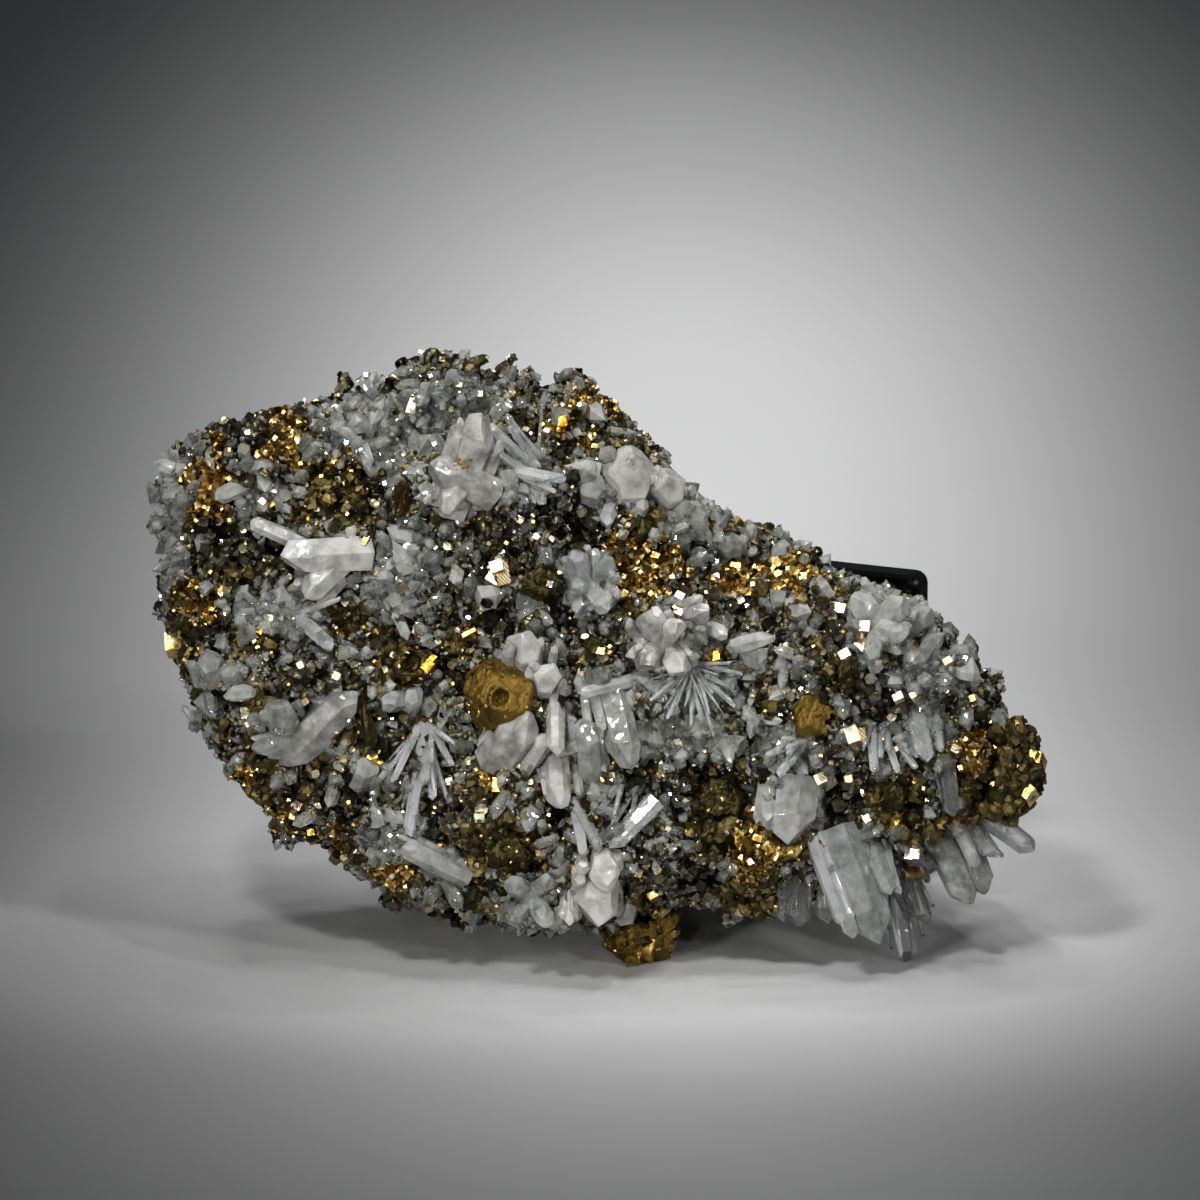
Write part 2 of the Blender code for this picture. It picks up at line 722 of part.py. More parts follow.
def faceted_lump(bm, centre, size, turn, faces, dice):
    """A block whose flat faces are cut one by one off a cube, as a stubby crystal has."""
    bmesh.ops.create_cube(bm, size=2.4)
    golden_turn = math.pi * (3 - math.sqrt(5))
    for count in range(faces):
        up = 1 - 2 * (count + 0.5) / faces
        around = golden_turn * count + dice.uniform(-0.3, 0.3)
        level = math.sqrt(1 - up * up)
        facing = Vector((level * math.cos(around), level * math.sin(around), up))
        reach = dice.uniform(0.82, 1.0)
        body = bm.verts[:] + bm.edges[:] + bm.faces[:]
        bmesh.ops.bisect_plane(
            bm, geom=body, dist=1e-6, plane_co=facing * reach, plane_no=facing, clear_outer=True
        )
        open_edges = [edge for edge in bm.edges if edge.is_boundary]
        bmesh.ops.holes_fill(bm, edges=open_edges, sides=0)
    place = (
        Matrix.Translation(centre * MM)
        @ Matrix.Rotation(math.radians(turn), 4, "Z")
        @ Matrix.Diagonal((*(size * 0.5 * MM), 1))
    )
    bmesh.ops.transform(bm, matrix=place, verts=bm.verts)


def sulphide_mesh(surface, spec, dice, grow=0.0):
    x, y, width, height, stand, turn, faces, _ = spec
    ground = surface.depth(x, y)
    thick = 2 * stand + LUMP_ROOT
    bm = bmesh.new()
    size = Vector((width, height, thick)) + Vector((1, 1, 1)) * LUMP_GROWTH * grow
    faceted_lump(bm, Vector((x, y, ground + stand - thick / 2)), size, turn, faces, dice)
    return bm


def add_pit(lump, spec, surface, cutters):
    """A pit where another crystal has sat."""
    x, y, _, _, stand, _, _, radius = spec
    bm = bmesh.new()
    bmesh.ops.create_cone(
        bm, cap_ends=True, segments=8, radius1=0.55 * radius * MM, radius2=1.3 * radius * MM,
        depth=4 * radius * MM,
    )
    rim = surface.depth(x, y) + stand
    bmesh.ops.translate(bm, verts=bm.verts, vec=Vector((x, y, rim + 0.8 * radius)) * MM)
    cutter = object_from(bm, lump.name + "_pit", cutters)
    hide_cutter(cutter)
    boolean(lump, cutter, "DIFFERENCE")


def pyrite_mesh(surface, spec, grow=0.0):
    x, y, width, height, stand, turn = spec
    thick = 2 * stand + PYRITE_ROOT
    bm = bmesh.new()
    bmesh.ops.create_cube(bm, size=1)
    size = Vector((width, height, thick)) + Vector((grow, grow, grow)) * 2
    bmesh.ops.bevel(
        bm, geom=bm.edges[:], offset=0.09, offset_type="OFFSET", segments=1, profile=0.5,
        affect="EDGES", material=-1,
    )
    centre = Vector((x, y, surface.depth(x, y) + stand - thick / 2))
    place = (
        Matrix.Translation(centre * MM)
        @ Matrix.Rotation(math.radians(turn), 4, "Z")
        @ Matrix.Rotation(math.radians(0.8 * turn), 4, "X")
        @ Matrix.Rotation(math.radians(16), 4, "Y")
        @ Matrix.Diagonal((*(size * MM), 1))
    )
    bmesh.ops.transform(bm, matrix=place, verts=bm.verts)
    return bm


def footprints():
    """Each large crystal seen square on, as a start, an end and half a width."""
    found = []
    for crystals in QUARTZ.values():
        for root_x, root_y, tip_x, tip_y, width, _ in crystals:
            found.append((Vector((root_x, root_y)), Vector((tip_x, tip_y)), width / 2))
    for x, y, width, height, *_ in list(CHALCOPYRITE.values()) + list(PYRITE.values()):
        half = abs(height - width) / 2
        reach = Vector((0, half)) if height > width else Vector((half, 0))
        found.append((Vector((x, y)) - reach, Vector((x, y)) + reach, min(width, height) / 2))
    return found


def clear_of(start, end, radius, others):
    for other_start, other_end, other_radius in others:
        gap = min(
            segment_distance(start, other_start, other_end)[0],
            segment_distance(end, other_start, other_end)[0],
            segment_distance(other_start, start, end)[0],
            segment_distance(other_end, start, end)[0],
        )
        if gap < radius + other_radius + FIT_GAP:
            return False
    return True


def grain_points(centre, width, dice):
    """The corners of a small sulphide crystal: a skewed wedge with few faces."""
    turn = Matrix.Rotation(dice.uniform(0, math.tau), 3, "Z")
    tilt = Matrix.Rotation(dice.gauss(0, 0.5), 3, "X")
    size = 0.62 * width
    points = []
    for corner in WEDGE:
        points.append(centre + turn @ tilt @ Vector(corner) * size * dice.uniform(0.85, 1.15))
    return points


def add_druse(rock, cutters):
    """The small crystals that cover the face, fused to the rock they grew from."""
    dice = random.Random(SEED)
    taken = footprints()
    bm = bmesh.new()
    faces = [face for face in rock.data.polygons if face.normal.z > -0.35]
    chances = [face.area * (1 if face.normal.z > 0.35 else 0.16) for face in faces]
    roots = []
    for face in dice.choices(faces, chances, k=DRUSE_COUNT * 30):
        if len(roots) == DRUSE_COUNT:
            break
        root = face.center / MM
        width = dice.uniform(*DRUSE_WIDTH)
        length = dice.uniform(*DRUSE_LENGTH)
        lean = Vector((dice.gauss(0, 0.5), dice.gauss(0, 0.5), dice.gauss(0, 0.3)))
        along = (face.normal + lean).normalized()
        if root.z < 0:
            length *= 0.6
        tip = root + along * length
        if tip.y * math.cos(LEAN) + tip.z * math.sin(LEAN) < FLOOR + 1:
            continue
        if not clear_of(root.to_2d(), tip.to_2d(), 0.6 * width, taken):
            continue
        if any((root - other).length < DRUSE_SPACING for other in roots):
            continue
        roots.append(root)
        golden = any((root.to_2d() - Vector((x, y))).length < size for x, y, size in GOLDEN_DRUSE)
        if golden:
            add_hull(bm, grain_points(root + along * 0.25 * width, width, dice))
        else:
            add_hull(bm, quartz_points(root - along * 0.7, tip, width, dice, False, 0))
    druse = object_from(bm, "druse_crystals", cutters)
    hide_cutter(druse)
    boolean(rock, druse, "UNION", overlapping=True)


def floor_cutter(cutters):
    """What lies below the surface that the stone stands on, in face space."""
    bm = bmesh.new()
    bmesh.ops.create_cube(bm, size=1)
    place = (
        LEAN_TURN.inverted()
        @ Matrix.Translation(Vector((0, 0, FLOOR - 10)) * MM)
        @ Matrix.Diagonal((200 * MM, 200 * MM, 20 * MM, 1))
    )
    bmesh.ops.transform(bm, matrix=place, verts=bm.verts)
    cutter = object_from(bm, "floor", cutters)
    hide_cutter(cutter)
    return cutter


def boxes_meet(first, second):
    """Whether the boxes of two objects overlap, so that one may have to be cut by the other."""
    boxes = []
    for obj in (first, second):
        corners = [vert.co for vert in obj.data.vertices]
        low = [min(place[axis] for place in corners) for axis in range(3)]
        high = [max(place[axis] for place in corners) for axis in range(3)]
        boxes.append((low, high))
    (low_a, high_a), (low_b, high_b) = boxes
    return all(low_a[axis] < high_b[axis] and low_b[axis] < high_a[axis] for axis in range(3))


def node_mesh(name, surface, order, grow=0.0):
    """The crystals of one node before anything is cut from them."""
    dice = random.Random(SEED * 1000 + order)
    if name in CHALCOPYRITE:
        return sulphide_mesh(surface, CHALCOPYRITE[name], dice, grow)
    if name in PYRITE:
        return pyrite_mesh(surface, PYRITE[name], grow)
    bm = bmesh.new()
    for crystal in QUARTZ[name]:
        add_quartz(bm, surface, crystal, dice, name in SPINDLES, grow)
    if len(QUARTZ[name]) > 1:
        add_shared_root(bm, surface, QUARTZ[name], dice, grow)
    return bm


def bracket(collection, rock):
    """A sheet bent to an L, its upright just clear of the stone's back and its foot behind."""
    profile = [
        (0, 0),
        (BRACKET_FOOT, 0),
        (BRACKET_FOOT, BRACKET_SHEET),
        (BRACKET_SHEET, BRACKET_SHEET),
        (BRACKET_SHEET, BRACKET_HEIGHT),
        (0, BRACKET_HEIGHT),
    ]
    bm = bmesh.new()
    verts = [bm.verts.new((0, back * MM, up * MM)) for back, up in profile]
    face = bm.faces.new(verts)
    pulled = bmesh.ops.extrude_face_region(bm, geom=[face])
    moved = [item for item in pulled["geom"] if isinstance(item, bmesh.types.BMVert)]
    bmesh.ops.translate(bm, verts=moved, vec=(-BRACKET_WIDTH * MM, 0, 0))
    bmesh.ops.recalc_face_normals(bm, faces=bm.faces)
    top = BRACKET_HEIGHT * MM - 1e-6
    corners = [
        edge
        for edge in bm.edges
        if all(vert.co.z > top for vert in edge.verts)
        and abs(edge.verts[0].co.x - edge.verts[1].co.x) < 1e-6
    ]
    bmesh.ops.bevel(
        bm, geom=corners, offset=BRACKET_CORNER * MM, offset_type="OFFSET", segments=4,
        profile=0.5, affect="EDGES", material=-1,
    )
    turn = Matrix.Rotation(-BRACKET_YAW, 4, "Z")
    end = Vector((BRACKET_RIGHT_END * MM, 0, 0))
    back_normal = turn.to_3x3() @ Vector((0, 1, 0))
    along = turn.to_3x3() @ Vector((-1, 0, 0))
    reach = 0
    for vert in rock.data.vertices:
        place = rock_to_world(vert.co)
        sideways = (place - end).dot(along)
        if -1 * MM < sideways < (BRACKET_WIDTH + 1) * MM and place.z < (BRACKET_HEIGHT + 1) * MM:
            reach = max(reach, (place - end).dot(back_normal))
    offset = Vector((0, (reach + FIT_GAP * MM) / math.cos(BRACKET_YAW), 0))
    bmesh.ops.transform(bm, matrix=Matrix.Translation(end + offset) @ turn, verts=bm.verts)
    stand = object_from(bm, "acrylic_bracket", collection)
    edges = stand.modifiers.new("polished_edges", "BEVEL")
    edges.width = BRACKET_EDGE * MM
    edges.segments = 1
    edges.limit_method = "ANGLE"
    edges.angle_limit = math.radians(40)
    return stand


def rock_to_world(place):
    return LEAN_TURN @ place - Vector((0, 0, FLOOR * MM))


def centre_all(empty, stand):
    """Moves everything so that the origin is under the middle of the whole box."""
    bpy.context.view_layer.update()
    graph = bpy.context.evaluated_depsgraph_get()
    low = Vector((1, 1, 1))
    high = Vector((-1, -1, -1))
    for obj in list(empty.children) + [stand]:
        shape = obj.evaluated_get(graph)
        for vert in shape.data.vertices:
            place = shape.matrix_world @ vert.co
            low = Vector(map(min, low, place))
            high = Vector(map(max, high, place))
    shift = Vector((-(low.x + high.x) / 2, -(low.y + high.y) / 2, -low.z))
    empty.location += shift
    stand.location += shift
    print("shift to the middle, mm:", [round(value / MM, 2) for value in shift])


def main():
    clear_scene()
    noise.seed_set(ROCK_SEED)
    parts = new_collection("chalcopyrite_specimen")
    cutters = new_collection("cutters")
    colors = {
        "matrix": material("dark sulphide and quartz rock", (0.10, 0.10, 0.085), 0.45, 0.3),
        "quartz": material("milky quartz", (0.62, 0.64, 0.62), 0.18, 0.0, 0.5),
        "chalcopyrite": material("tarnished chalcopyrite", (0.42, 0.29, 0.08), 0.3, 0.9),
        "pyrite": material("pale pyrite", (0.80, 0.70, 0.48), 0.12, 1.0),
        "acrylic": material("black acrylic", (0.012, 0.012, 0.014), 0.1, 0.0),
    }
    rock = rock_slab(parts)
    shape_rock(rock)
    decimate_back(rock, BACK_TRIANGLES)
    decimate(rock, ROCK_TRIANGLES)
    surface = Surface(rock)
    grown_rock = grown_copy(rock, "rock_with_gap", cutters, ROCK_GAP)
    hide_cutter(grown_rock)
    floor = floor_cutter(cutters)
    names = [*QUARTZ, *CHALCOPYRITE, *PYRITE]
    names.sort(key=lambda name: name not in WHOLE)
    grown = {}
    pieces = {}
    for order, name in enumerate(names):
        piece = object_from(node_mesh(name, surface, order), name, parts)
        pieces[name] = piece
        boolean(piece, grown_rock, "DIFFERENCE", overlapping=True)
        for earlier in grown:
            if boxes_meet(piece, grown[earlier]):
                boolean(piece, grown[earlier], "DIFFERENCE", overlapping=True)
        keep_largest(piece)
        crystals = len(QUARTZ.get(name, ())) or LUMP_COUNTS_AS
        decimate(piece, CRYSTAL_TRIANGLES * crystals)
        if CHALCOPYRITE.get(name, (0,))[-1]:
            add_pit(piece, CHALCOPYRITE[name], surface, cutters)
            keep_largest(piece)
        grown[name] = object_from(
            node_mesh(name, surface, order, FIT_GAP), name + "_with_gap", cutters
        )
        hide_cutter(grown[name])
    add_druse(rock, cutters)
    for obj in (rock, pieces["chalcopyrite_foot_tip"], pieces["quartz_foot_tips"]):
        boolean(obj, floor, "DIFFERENCE")
        keep_largest(obj)
    decimate(rock, DRESSED_ROCK_TRIANGLES)
    lean = bpy.data.objects.new("specimen_lean", None)
    parts.objects.link(lean)
    lean.matrix_world = Matrix.Translation((0, 0, -FLOOR * MM)) @ LEAN_TURN
    rock.data.materials.append(colors["matrix"])
    for obj in [rock, *pieces.values()]:
        obj.parent = lean
        kind = obj.name.split("_")[0]
        if kind != "matrix":
            obj.data.materials.clear()
            obj.data.materials.append(colors[kind])
    stand = bracket(parts, rock)
    stand.data.materials.append(colors["acrylic"])
    centre_all(lean, stand)


main()
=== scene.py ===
# %% [markdown]
# # A chalcopyrite specimen with quartz and pyrite
#
# A cabinet specimen is a piece of ore vein. Hot water left chalcopyrite, pyrite and dark galena in an
# open crack, and quartz grew over them last. Every surface is therefore made of flat crystal faces, from
# prisms of a centimetre down to grains of a third of a millimetre. The script follows that order: first the
# rock in grains, then the small crystals sown on it by the thousand, then the large ones one by one.

import math
import random

import bmesh
import bpy
import numpy as np
from mathutils import Matrix, Vector, kdtree, noise
from mathutils.bvhtree import BVHTree


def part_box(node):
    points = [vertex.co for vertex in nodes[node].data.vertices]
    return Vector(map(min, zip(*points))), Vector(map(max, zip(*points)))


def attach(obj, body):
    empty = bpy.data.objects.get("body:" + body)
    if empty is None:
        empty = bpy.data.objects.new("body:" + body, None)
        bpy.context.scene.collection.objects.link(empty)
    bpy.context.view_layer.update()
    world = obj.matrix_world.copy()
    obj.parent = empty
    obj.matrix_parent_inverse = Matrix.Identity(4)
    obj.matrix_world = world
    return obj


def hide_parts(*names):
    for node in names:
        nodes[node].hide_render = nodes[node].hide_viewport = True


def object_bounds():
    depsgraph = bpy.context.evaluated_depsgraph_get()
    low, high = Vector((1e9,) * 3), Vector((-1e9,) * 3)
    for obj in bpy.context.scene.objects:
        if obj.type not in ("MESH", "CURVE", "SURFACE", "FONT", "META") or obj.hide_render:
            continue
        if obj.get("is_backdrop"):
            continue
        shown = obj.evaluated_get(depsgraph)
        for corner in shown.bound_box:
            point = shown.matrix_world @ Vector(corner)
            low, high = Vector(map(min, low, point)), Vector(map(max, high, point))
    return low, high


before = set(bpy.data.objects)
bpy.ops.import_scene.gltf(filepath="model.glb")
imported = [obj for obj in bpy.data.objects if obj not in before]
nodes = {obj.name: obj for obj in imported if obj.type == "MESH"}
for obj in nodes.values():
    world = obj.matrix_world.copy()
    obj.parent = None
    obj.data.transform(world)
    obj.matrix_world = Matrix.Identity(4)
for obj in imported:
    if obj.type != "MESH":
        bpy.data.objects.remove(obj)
cad_box = [list(corner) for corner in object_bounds()]
print("nodes in the frame:", len(nodes))

# %% [markdown]
# ## One flat page to work on
#
# The specimen leans back 15 degrees and the camera looks at it square on. It is easier to think of its face
# as a page: x to the right, y up, z towards the viewer, all in millimetres from the lowest tip. Everything
# is modelled on that page, and one matrix then puts it in its place in the frame.

# %% The page and the world
MM = 0.001
LEAN = math.radians(15)
FACE_SHIFT = Vector((0.39, -26.96, -0.87))
FACE_TURN = Matrix.Rotation(math.pi / 2 - LEAN, 4, "X")
FACE_TO_WORLD = Matrix.Translation(FACE_SHIFT * MM) @ FACE_TURN @ Matrix.Scale(MM, 4)
WORLD_TO_FACE = FACE_TO_WORLD.inverted()
SEED = 5
dice = random.Random(SEED)
rng = np.random.default_rng(SEED)
print("the page's origin in the frame, mm:", [round(x, 2) for x in FACE_SHIFT])

# %% Reading and placing meshes
def unit(vectors):
    """The same directions with a length of 1."""
    return vectors / np.linalg.norm(vectors, axis=-1, keepdims=True)


def merged_copy(node):
    """A frame node's shape as one welded body, on the page."""
    bm = bmesh.new()
    bm.from_mesh(nodes[node].data)
    bmesh.ops.transform(bm, matrix=WORLD_TO_FACE, verts=bm.verts)
    bmesh.ops.remove_doubles(bm, verts=bm.verts, dist=0.01)
    return bm


def mesh_points(mesh):
    """The places of a mesh's points, one row each."""
    points = np.empty(len(mesh.vertices) * 3, dtype=np.float32)
    mesh.vertices.foreach_get("co", points)
    return points.reshape(-1, 3).astype(float)


def place_piece(mesh, name, slot, materials, *replaced):
    """A finished mesh as a piece of the object, in its place in the world and inside the frame's box."""
    mesh.transform(FACE_TO_WORLD)
    kept_in = np.clip(mesh_points(mesh), *cad_box)
    mesh.vertices.foreach_set("co", kept_in.ravel())
    mesh.shade_flat()
    piece = bpy.data.objects.new(name, mesh)
    bpy.context.scene.collection.objects.link(piece)
    for material in materials:
        mesh.materials.append(material)
    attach(piece, "root")
    if replaced:
        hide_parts(*replaced)
    mesh.calc_loop_triangles()
    print(name, "has", len(mesh.loop_triangles), "triangles")
    return piece


# %% [markdown]
# ## Colours and nodes
#
# Colours are read as sRGB hex values, as a colour picker gives them, and turned to the linear values that
# the shader works in. One function adds a node with its settings and links, so that each material below
# reads as a list of what it is made of.

# %% Material helpers
def linear(hex_code):
    """An sRGB hex value as a linear colour with alpha."""
    shares = [int(hex_code[start : start + 2], 16) / 255 for start in (1, 3, 5)]
    return (*[s / 12.92 if s <= 0.04045 else ((s + 0.055) / 1.055) ** 2.4 for s in shares], 1)


def add(tree, kind, settings=None, links=None):
    """Adds a node, sets its inputs or properties, and links what feeds it."""
    node = tree.nodes.new("ShaderNode" + kind)
    for key, value in (settings or {}).items():
        if isinstance(key, int) or key in node.inputs:
            node.inputs[key].default_value = value
        else:
            setattr(node, key, value)
    for key, source in (links or {}).items():
        tree.links.new(source, node.inputs[key])
    return node


def start_material(name, settings):
    """A new material with its Principled shader, which has these settings."""
    material = bpy.data.materials.new(name)
    material.use_nodes = True
    tree = material.node_tree
    shader = tree.nodes["Principled BSDF"]
    for key, value in settings.items():
        shader.inputs[key].default_value = value
    return material, tree, shader


def ramp(tree, source, stops):
    """A colour ramp through these places and hex colours."""
    node = add(tree, "ValToRGB", links={"Fac": source})
    elements = node.color_ramp.elements
    while len(elements) < len(stops):
        elements.new(0.5)
    for element, (place, hex_code) in zip(elements, stops):
        element.position = place
        element.color = linear(hex_code)
    return node.outputs["Color"]


def speckle(tree, size_mm, detail=3.0, roughness=0.55):
    """Cloudy noise whose blotches are about this large."""
    place = add(tree, "TexCoord").outputs["Object"]
    settings = {"Scale": 1 / (size_mm * MM), "Detail": detail, "Roughness": roughness}
    return add(tree, "TexNoise", settings, {"Vector": place}).outputs["Fac"]


def facets(tree, shader, size_mm, tilt):
    """Turns the surface into small flat mirrors of this size, each tilted its own way.

    The real faces go down to hundredths of a millimetre, so they are drawn coarser to show."""
    place = add(tree, "TexCoord").outputs["Object"]
    cells = add(tree, "TexVoronoi", {"Scale": 1 / (size_mm * MM)}, {"Vector": place}).outputs["Color"]
    centred = add(tree, "VectorMath", {"operation": "SUBTRACT", 1: (0.5, 0.5, 0.5)}, {0: cells})
    push = add(tree, "VectorMath", {"operation": "SCALE", "Scale": tilt}, {0: centred.outputs[0]})
    facing = add(tree, "NewGeometry").outputs["Normal"]
    tilted = add(tree, "VectorMath", {"operation": "ADD"}, {0: facing, 1: push.outputs[0]})
    straight = add(tree, "VectorMath", {"operation": "NORMALIZE"}, {0: tilted.outputs[0]})
    tree.links.new(straight.outputs[0], shader.inputs["Normal"])


def own(tree, name):
    """A number that the mesh carries for each crystal."""
    return add(tree, "Attribute", {"attribute_name": name}).outputs["Fac"]


print("a middle grey as a linear colour:", [round(part, 3) for part in linear("#808080")])

# %% [markdown]
# ## Quartz
#
# Quartz is clear with an index of refraction of 1.544. Most of the crystals here are milky, because tiny
# bubbles of the water they grew from are caught inside. The milk lies in veils, so noise in the shader's
# colour makes clear and white streaks in one crystal, and a little scattering gives the white ones a soft
# body. How much light passes straight through is the transmission, set once for each kind.

# %% Quartz materials
QUARTZ_IOR = 1.544
SCATTER_DEPTH = 0.8
SCATTER_BY_COLOUR = (1.0, 0.95, 0.85)


def quartz_material(name, stops, through, roughness, veil_mm, inner, facet_mm, tilt):
    """Quartz that lets this share of the light through, with veils of this size inside."""
    settings = {
        "IOR": QUARTZ_IOR,
        "Transmission Weight": through,
        "Roughness": roughness,
        "Subsurface Weight": inner,
        "Subsurface Radius": SCATTER_BY_COLOUR,
        "Subsurface Scale": SCATTER_DEPTH * MM,
    }
    material, tree, shader = start_material(name, settings)
    # Noise keeps near its middle value, so the middle of its range is spread out.
    spread = {"From Min": 0.3, "From Max": 0.7, "To Min": 0.05, "To Max": 0.65}
    veils = add(tree, "MapRange", spread, {"Value": speckle(tree, veil_mm, 4.0, 0.6)})
    mixed = add(tree, "Math", {"operation": "ADD"}, {0: veils.outputs[0], 1: own(tree, "tone")})
    tree.links.new(ramp(tree, mixed.outputs[0], stops), shader.inputs["Base Color"])
    facets(tree, shader, facet_mm, tilt)
    return material


MILKY_STOPS = [(0.4, "#93938D"), (0.68, "#CBC9C2"), (1.0, "#FAF8F2")]
CLOUDY_STOPS = [(0.3, "#80837E"), (0.62, "#C2C4BD"), (1.0, "#F6F7F2")]
DRUSE_STOPS = [(0.25, "#6F7268"), (0.55, "#B1B3A6"), (0.95, "#F1F2E8")]
# The lightest needle colours are partly painted light, standing in for the top light reflected inside the
# needles.
NEEDLE_PAINTED_LIGHT_STOPS = [(0.2, "#98A09C"), (0.55, "#D0D5D1"), (0.9, "#FFFFFF")]
CLEAR_STOPS = [(0.4, "#C8CECA"), (0.7, "#EDF0ED"), (1.0, "#FFFFFF")]

# Milky quartz, grown full of bubbles. Half the light goes in and comes back soft and white.
milky_quartz = quartz_material("milky quartz", MILKY_STOPS, 0.5, 0.18, 1.7, 0.25, 0.45, 0.14)
# Cloudy quartz, with thinner veils. The rock behind it still shows as grey.
cloudy_quartz = quartz_material("cloudy quartz", CLOUDY_STOPS, 0.64, 0.1, 1.3, 0.0, 0.4, 0.16)
# The druse's own small faces are finer than a pixel, so its facets are tilted more and glitter.
druse_quartz = quartz_material("druse quartz", DRUSE_STOPS, 0.68, 0.06, 1.2, 0.0, 0.32, 0.5)
# Needles and slim prisms grew last and slowly: clear, with smooth faces that draw bright lines. Their
# whiter base colour is partly painted light, for the top light reflected inside them.
needle_quartz_painted_light = quartz_material("needle quartz, painted inner light", NEEDLE_PAINTED_LIGHT_STOPS, 0.72, 0.05, 1.4, 0.0, 1.2, 0.03)
# Rock crystal, as in the tips at the foot. It is seen through, and shows by its edges and reflections.
clear_quartz = quartz_material("clear quartz", CLEAR_STOPS, 0.93, 0.02, 2.5, 0.0, 1.2, 0.02)
print("quartz finishes:", [material.name for material in bpy.data.materials if " quartz" in material.name])

# %% [markdown]
# ## The ore minerals
#
# Chalcopyrite is a soft brass-yellow sulphide. Fresh faces shine like old gold. In air they tarnish to
# olive and bronze, and a thin film can turn blue or violet. Pyrite stays pale and mirror bright, with fine
# grooves across its faces. Galena and sphalerite are nearly black with a steely flash. All of them are
# metals to the eye: their colour is in the reflection, so it is the base colour of a metallic shader.

# %% Sulphide materials
# A wave texture makes a band every 0.31 units at a scale of 1.
WAVE_TURN = 0.31
GROOVE_DEPTH = 0.03


def grooves(tree, shader, spacing_mm, depth_mm):
    """Fine parallel grooves, a little uneven, as growth leaves them on a crystal's face."""
    place = add(tree, "TexCoord").outputs["Object"]
    settings = {
        "Scale": WAVE_TURN / (spacing_mm * MM),
        "Distortion": 1.5,
        "Detail": 2.0,
        "bands_direction": "DIAGONAL",
    }
    bands = add(tree, "TexWave", settings, {"Vector": place})
    depth = {"Strength": 0.8, "Distance": depth_mm * MM}
    bump = add(tree, "Bump", depth, {"Height": bands.outputs["Fac"]})
    tree.links.new(bump.outputs["Normal"], shader.inputs["Normal"])


def sulphide_material(name, stops, roughness, patch_mm, facet_mm, tilt, grooved=False):
    """A metallic mineral, its colour varied by crystal and by patches of this size."""
    material, tree, shader = start_material(name, {"Metallic": 1.0, "Roughness": roughness})
    patches = speckle(tree, patch_mm, 5.0, 0.65)
    mixed = add(tree, "Math", {"operation": "MULTIPLY_ADD", 1: 0.9}, {0: patches, 2: own(tree, "tone")})
    tree.links.new(ramp(tree, mixed.outputs[0], stops), shader.inputs["Base Color"])
    dull_and_bright = {"To Min": 0.6 * roughness, "To Max": 1.7 * roughness}
    rough_spots = add(tree, "MapRange", dull_and_bright, {"Value": patches})
    tree.links.new(rough_spots.outputs[0], shader.inputs["Roughness"])
    if grooved:
        grooves(tree, shader, facet_mm, GROOVE_DEPTH)
    else:
        facets(tree, shader, facet_mm, tilt)
    return material


GOLD_STOPS = [(0.3, "#2E250D"), (0.58, "#6C5422"), (0.86, "#A98A44"), (1.0, "#E2C580")]
SATIN_STOPS = [(0.3, "#2E2710"), (0.6, "#6A5525"), (0.85, "#957836"), (1.0, "#C6A65A")]
OLIVE_STOPS = [(0.3, "#211F13"), (0.6, "#433C24"), (0.85, "#5E5331"), (1.0, "#786A40")]
DARK_STOPS = [(0.3, "#161511"), (0.6, "#363329"), (1.0, "#77725F")]
# The rock's colours are partly painted shade: the rock shows only in the gaps between crystals, and its
# darkness also stands in for their shade.
ROCK_AND_PAINTED_SHADE_STOPS = [(0.3, "#1A1810"), (0.6, "#3E3926"), (1.0, "#7A7254")]
PYRITE_STOPS = [(0.3, "#A08A60"), (0.65, "#D2BE94"), (1.0, "#F6E8CA")]
BLUE_STOPS = [(0.3, "#2A2450"), (0.6, "#5A66B0"), (0.8, "#B0A8E8"), (1.0, "#C8A860")]
# Painted light: orange colours for the glow of light bounced between golden faces.
PAINTED_GLOW_STOPS = [(0.3, "#8A3F08"), (0.7, "#E08A1A"), (1.0, "#FAB848")]

# Fresh chalcopyrite in grains: small grown faces, bright enough to flash in old gold.
gold_chalcopyrite = sulphide_material("chalcopyrite grains", GOLD_STOPS, 0.27, 1.2, 0.4, 0.24)
# Large chalcopyrite faces, etched by the water they grew in. They are satin, with broad soft highlights.
satin_chalcopyrite = sulphide_material("satin chalcopyrite", SATIN_STOPS, 0.5, 1.6, 0.5, 0.12)
# Chalcopyrite with a film of tarnish from the air, which dulls it to olive.
olive_chalcopyrite = sulphide_material("tarnished chalcopyrite", OLIVE_STOPS, 0.42, 1.8, 0.45, 0.4)
# Galena and sphalerite, broken and grown in small cubes: nearly black, with a steely flash.
dark_galena = sulphide_material("galena and sphalerite", DARK_STOPS, 0.26, 1.0, 0.4, 0.25)
# The groundmass between the crystals, seen only in the gaps between them. Its dark colour is partly mixed
# dark grains too small to tell apart and partly painted shade of those gaps.
dark_rock_with_painted_shade = sulphide_material("dark groundmass with painted gap shade", ROCK_AND_PAINTED_SHADE_STOPS, 0.34, 1.0, 0.35, 0.5)
# Pyrite grows grooves across its faces, which break its mirror into fine pale lines. Real ones can be less
# than 0.1 mm apart, too fine to show, so they are drawn coarser, 0.22 mm apart.
pale_pyrite = sulphide_material("grooved pale pyrite", PYRITE_STOPS, 0.33, 1.2, 0.22, 0.0, True)
# One block of chalcopyrite has grooves too, from thin twins that lie side by side.
grooved_chalcopyrite = sulphide_material("grooved chalcopyrite", SATIN_STOPS, 0.3, 1.5, 0.3, 0.0, True)
# A tarnish film as thin as a light wave turns a face blue and violet.
blue_tarnish = sulphide_material("iridescent tarnish", BLUE_STOPS, 0.2, 0.9, 0.5, 0.25)
